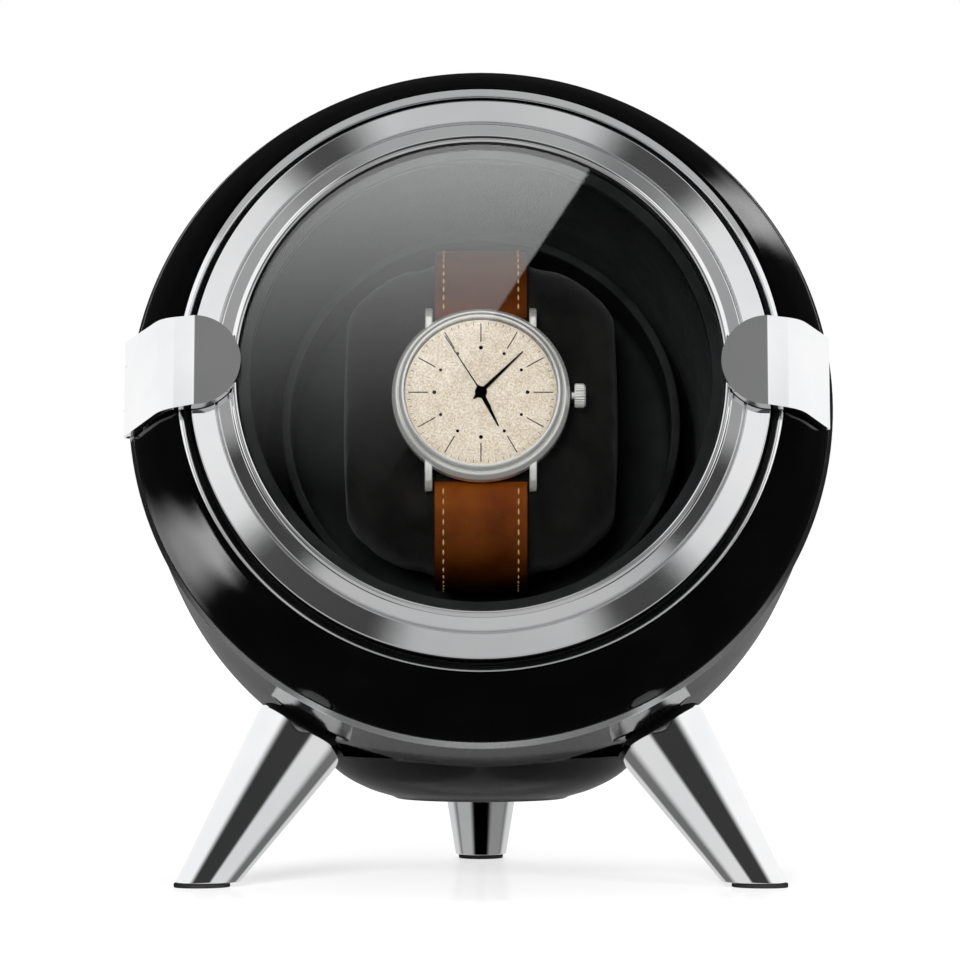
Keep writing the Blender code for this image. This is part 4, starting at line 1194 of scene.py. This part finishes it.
def leg_light(azimuth, elevation, unit):
    """A white studio with a black flag in front and a grey floor, as the chrome legs mirror it."""
    side = np.abs(azimuth)
    above = 0.04 + 0.96 * np.maximum(rise(side, 30, 60), rise(elevation, 42, 55))
    near = 0.74 - 0.58 * rise(side, 68, 100) + 0.5 * rise(side, 128, 142)
    far = np.where(azimuth < 0, 0.42, 0.26) * rise(elevation, -76, -64)
    low = near + (far - near) * rise(side, 95, 103) * (1 - rise(elevation, -40, -34))
    low = low * rise(elevation, -80, -70)
    return low + (above - low) * rise(elevation, -3, 4)


def watch_light(azimuth, elevation, unit):
    """Bright from above with two darker flags, as the polished case mirrors it."""
    light = 0.42 + 0.5 * rise(elevation, -15, 40)
    angle = around_mirror(unit)[1]
    return darken(light, angle, ((20, 50), (200, 235)), 0.4, 8)


def lacquer_light(azimuth, elevation, unit):
    """Near darkness with four soft boxes high up, as the back and the plain black parts mirror it."""
    side = np.abs(azimuth)
    light = 0.02 + 0.08 * rise(elevation, 60, 75)
    light = light + 0.22 * rise(side, 112, 124) * (1 - rise(elevation, -25, -18))
    light = light + 0.2 * rise(side, 156, 164) * between(elevation, -22, -3, 2)
    light = light + 0.2 * rise(side, 150, 165) * (1 - rise(elevation, -50, -40))
    boxes = between(side, 25, 65, 4) + between(side, 115, 155, 4)
    return light + 0.7 * boxes * between(elevation, 36, 58, 4)


def front_light(azimuth, elevation, unit):
    """Near darkness with one soft box behind and one beside, as the front shell mirrors it."""
    light = 0.02 + 0.08 * rise(elevation, 55, 70)
    low, high = 24 - 0.62 * (azimuth - 142), 34 - 0.85 * (azimuth - 142)
    behind = (2.4 - 0.08 * (azimuth - 142)) * between(azimuth, 134, 162, 3)
    light = light + behind * rise(elevation - low, -3, 2) * (1 - rise(elevation - high, -3, 3))
    slant = elevation + 15.5 + 0.14 * (azimuth + 142)
    beside = (1.0 + 0.0038 * (azimuth + 142) ** 2) * between(azimuth, -146, -94, 4)
    return light + beside * between(slant, -6, 6, 4)


def make_glare(receivers):
    """The window that the door's pane mirrors: bright at the top and cut off along a slant."""
    out = (HEAD.to_3x3() @ Vector((0, 0, 1))).normalized()
    centre = HEAD @ Vector((0, 0, GLASS_TOP))
    camera = Vector(CAMERA_PLACE) * MM
    twin = camera - 2 * (camera - centre).dot(out) * out
    beyond = 1.85
    rows, columns = 40, 30
    points, glow = [], []
    for row in range(rows + 1):
        v = -32 + 90 * row / rows
        edge = 4.0 + 0.629 * (v - 15.3)
        for column in range(columns + 1):
            u = -62 + (edge + 62) * column / columns
            points.append(twin + (HEAD @ Vector((u, v, GLASS_TOP)) - twin) * beyond)
            glow.append(max(0.0, (v + 28.7) / 78.5) ** 2)
    faces = grid_faces(rows, columns, columns + 1)
    make_glow("window_glow", points, faces, glow, 4.3, receivers)


def sort_receivers():
    """Which pieces mirror which light, by their finish."""
    kinds = {"chrome": "rings", "trim_silver": "rings", "steel": "legs", "bronze": "legs", "glass": "panes"}
    kinds |= {"case_steel": "watch", "hand_dark": "watch"}
    kind_of = {LOOK[finish]: kind for finish, kind in kinds.items()}
    names = ("rings", "legs", "watch", "panes", "front", "others")
    groups = {name: bpy.data.collections.new(name) for name in names}
    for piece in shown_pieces():
        kind = kind_of.get(piece.data.materials[0], "others")
        if piece.name.startswith("tapered_leg"):
            kind = "legs"
        if piece.name == "seam_trim":
            kind = "others"
        if piece.name == "shell_front":
            kind = "front"
        groups[kind].objects.link(piece)
    return groups


def make_floor(groups):
    """A pale floor that lights itself more away from the middle, so that its edge can't be seen."""
    made, tree = bare_material("pale_floor")
    cloudy = two_tone(tree, speckle(tree, 3), (0.5, 0.5, 0.5), (0.54, 0.54, 0.54))
    matt = add(tree, "BsdfDiffuse", {"Color": cloudy}).outputs[0]
    place = add(tree, "TexCoord").outputs["Object"]
    away = add(tree, "VectorMath", {0: place}, operation="LENGTH").outputs["Value"]
    strength = spread(tree, away, 0.62, 0.97, 0.1, 1.2)
    lit = add(tree, "Emission", {"Color": (1, 1, 1, 1), "Strength": strength}).outputs[0]
    both = add(tree, "AddShader", {0: matt, 1: lit}).outputs[0]
    gloss = add(tree, "BsdfAnisotropic", {"Color": (1, 1, 1, 1), "Roughness": 0.12}).outputs[0]
    mixed = add(tree, "MixShader", {0: 0.1, 1: both, 2: gloss}).outputs[0]
    add(tree, "OutputMaterial", {"Surface": mixed})
    bpy.ops.mesh.primitive_plane_add(size=5.8)
    floor = bpy.context.object
    floor.name = "floor"
    floor.data.materials.append(made)
    floor.visible_glossy = False
    groups["legs"].objects.link(floor)


def make_world():
    """White behind everything, and an even soft light on matt surfaces."""
    world = bpy.data.worlds.new("studio")
    bpy.context.scene.world = world
    world.use_nodes = True
    tree = world.node_tree
    tree.nodes.clear()
    ray = add(tree, "LightPath").outputs
    matt = maths(tree, "MULTIPLY", ray["Is Diffuse Ray"], 0.35)
    strength = maths(tree, "ADD", ray["Is Camera Ray"], matt)
    light = add(tree, "Background", {"Color": (1, 1, 1, 1), "Strength": strength}).outputs[0]
    add(tree, "OutputWorld", {"Surface": light})


def make_lamp(name, place, size, power, receivers=None):
    data = bpy.data.lights.new(name, "AREA")
    data.shape, data.size, data.energy = "DISK", size, power
    lamp = bpy.data.objects.new(name, data)
    lamp.location = place
    lamp.rotation_euler = (Vector((0, 0, 0.09)) - Vector(place)).to_track_quat("-Z", "Y").to_euler()
    lamp.visible_glossy = False
    if receivers:
        lamp.light_linking.receiver_collection = receivers
    bpy.context.scene.collection.objects.link(lamp)


def make_camera():
    data = bpy.data.cameras.new("camera")
    data.sensor_width, data.lens = 36.0, CAMERA_LENS
    data.clip_start, data.clip_end = 0.05, 60.0
    camera = bpy.data.objects.new("camera", data)
    camera.location = Vector(CAMERA_PLACE) * MM
    camera.rotation_euler = (math.radians(90 - CAMERA_PITCH), 0, 0)
    bpy.context.scene.collection.objects.link(camera)
    bpy.context.scene.camera = camera


def main():
    bpy.context.scene.view_settings.view_transform = "Standard"
    LOOK.update(make_finishes())
    make_camera()
    make_front_shell()
    make_rings()
    make_rear_shell()
    for side in LEG_TURNS:
        make_leg(side)
    make_well()
    make_back_panel()
    make_controls()
    make_door()
    make_hinge_arm()
    make_pull_tab()
    make_cushion()
    make_strap("strap_upper", 65.8, -82)
    make_strap("strap_lower", 114.2, 262)
    make_buckle()
    make_case()
    make_dial_marks()
    make_hands()
    make_crown()
    dress_hidden_nodes()
    groups = sort_receivers()
    make_floor(groups)
    make_world()
    make_tent("ring_tent", 3.0, ring_light, groups["rings"])
    make_tent("leg_tent", 3.1, leg_light, groups["legs"])
    make_tent("watch_tent", 3.2, watch_light, groups["watch"])
    make_tent("front_tent", 3.25, front_light, groups["front"])
    make_tent("lacquer_tent", 3.3, lacquer_light, groups["others"])
    make_glare(groups["panes"])
    make_lamp("key", (-0.3, -1.6, 0.5), 0.6, 34)
    make_lamp("fill", (0.9, -1.2, 0.5), 0.8, 9)
    make_lamp("top", (0.0, 0.3, 1.6), 1.0, 10)
    make_lamp("rear", (-0.6, 1.5, 0.7), 0.8, 40, groups["others"])


main()
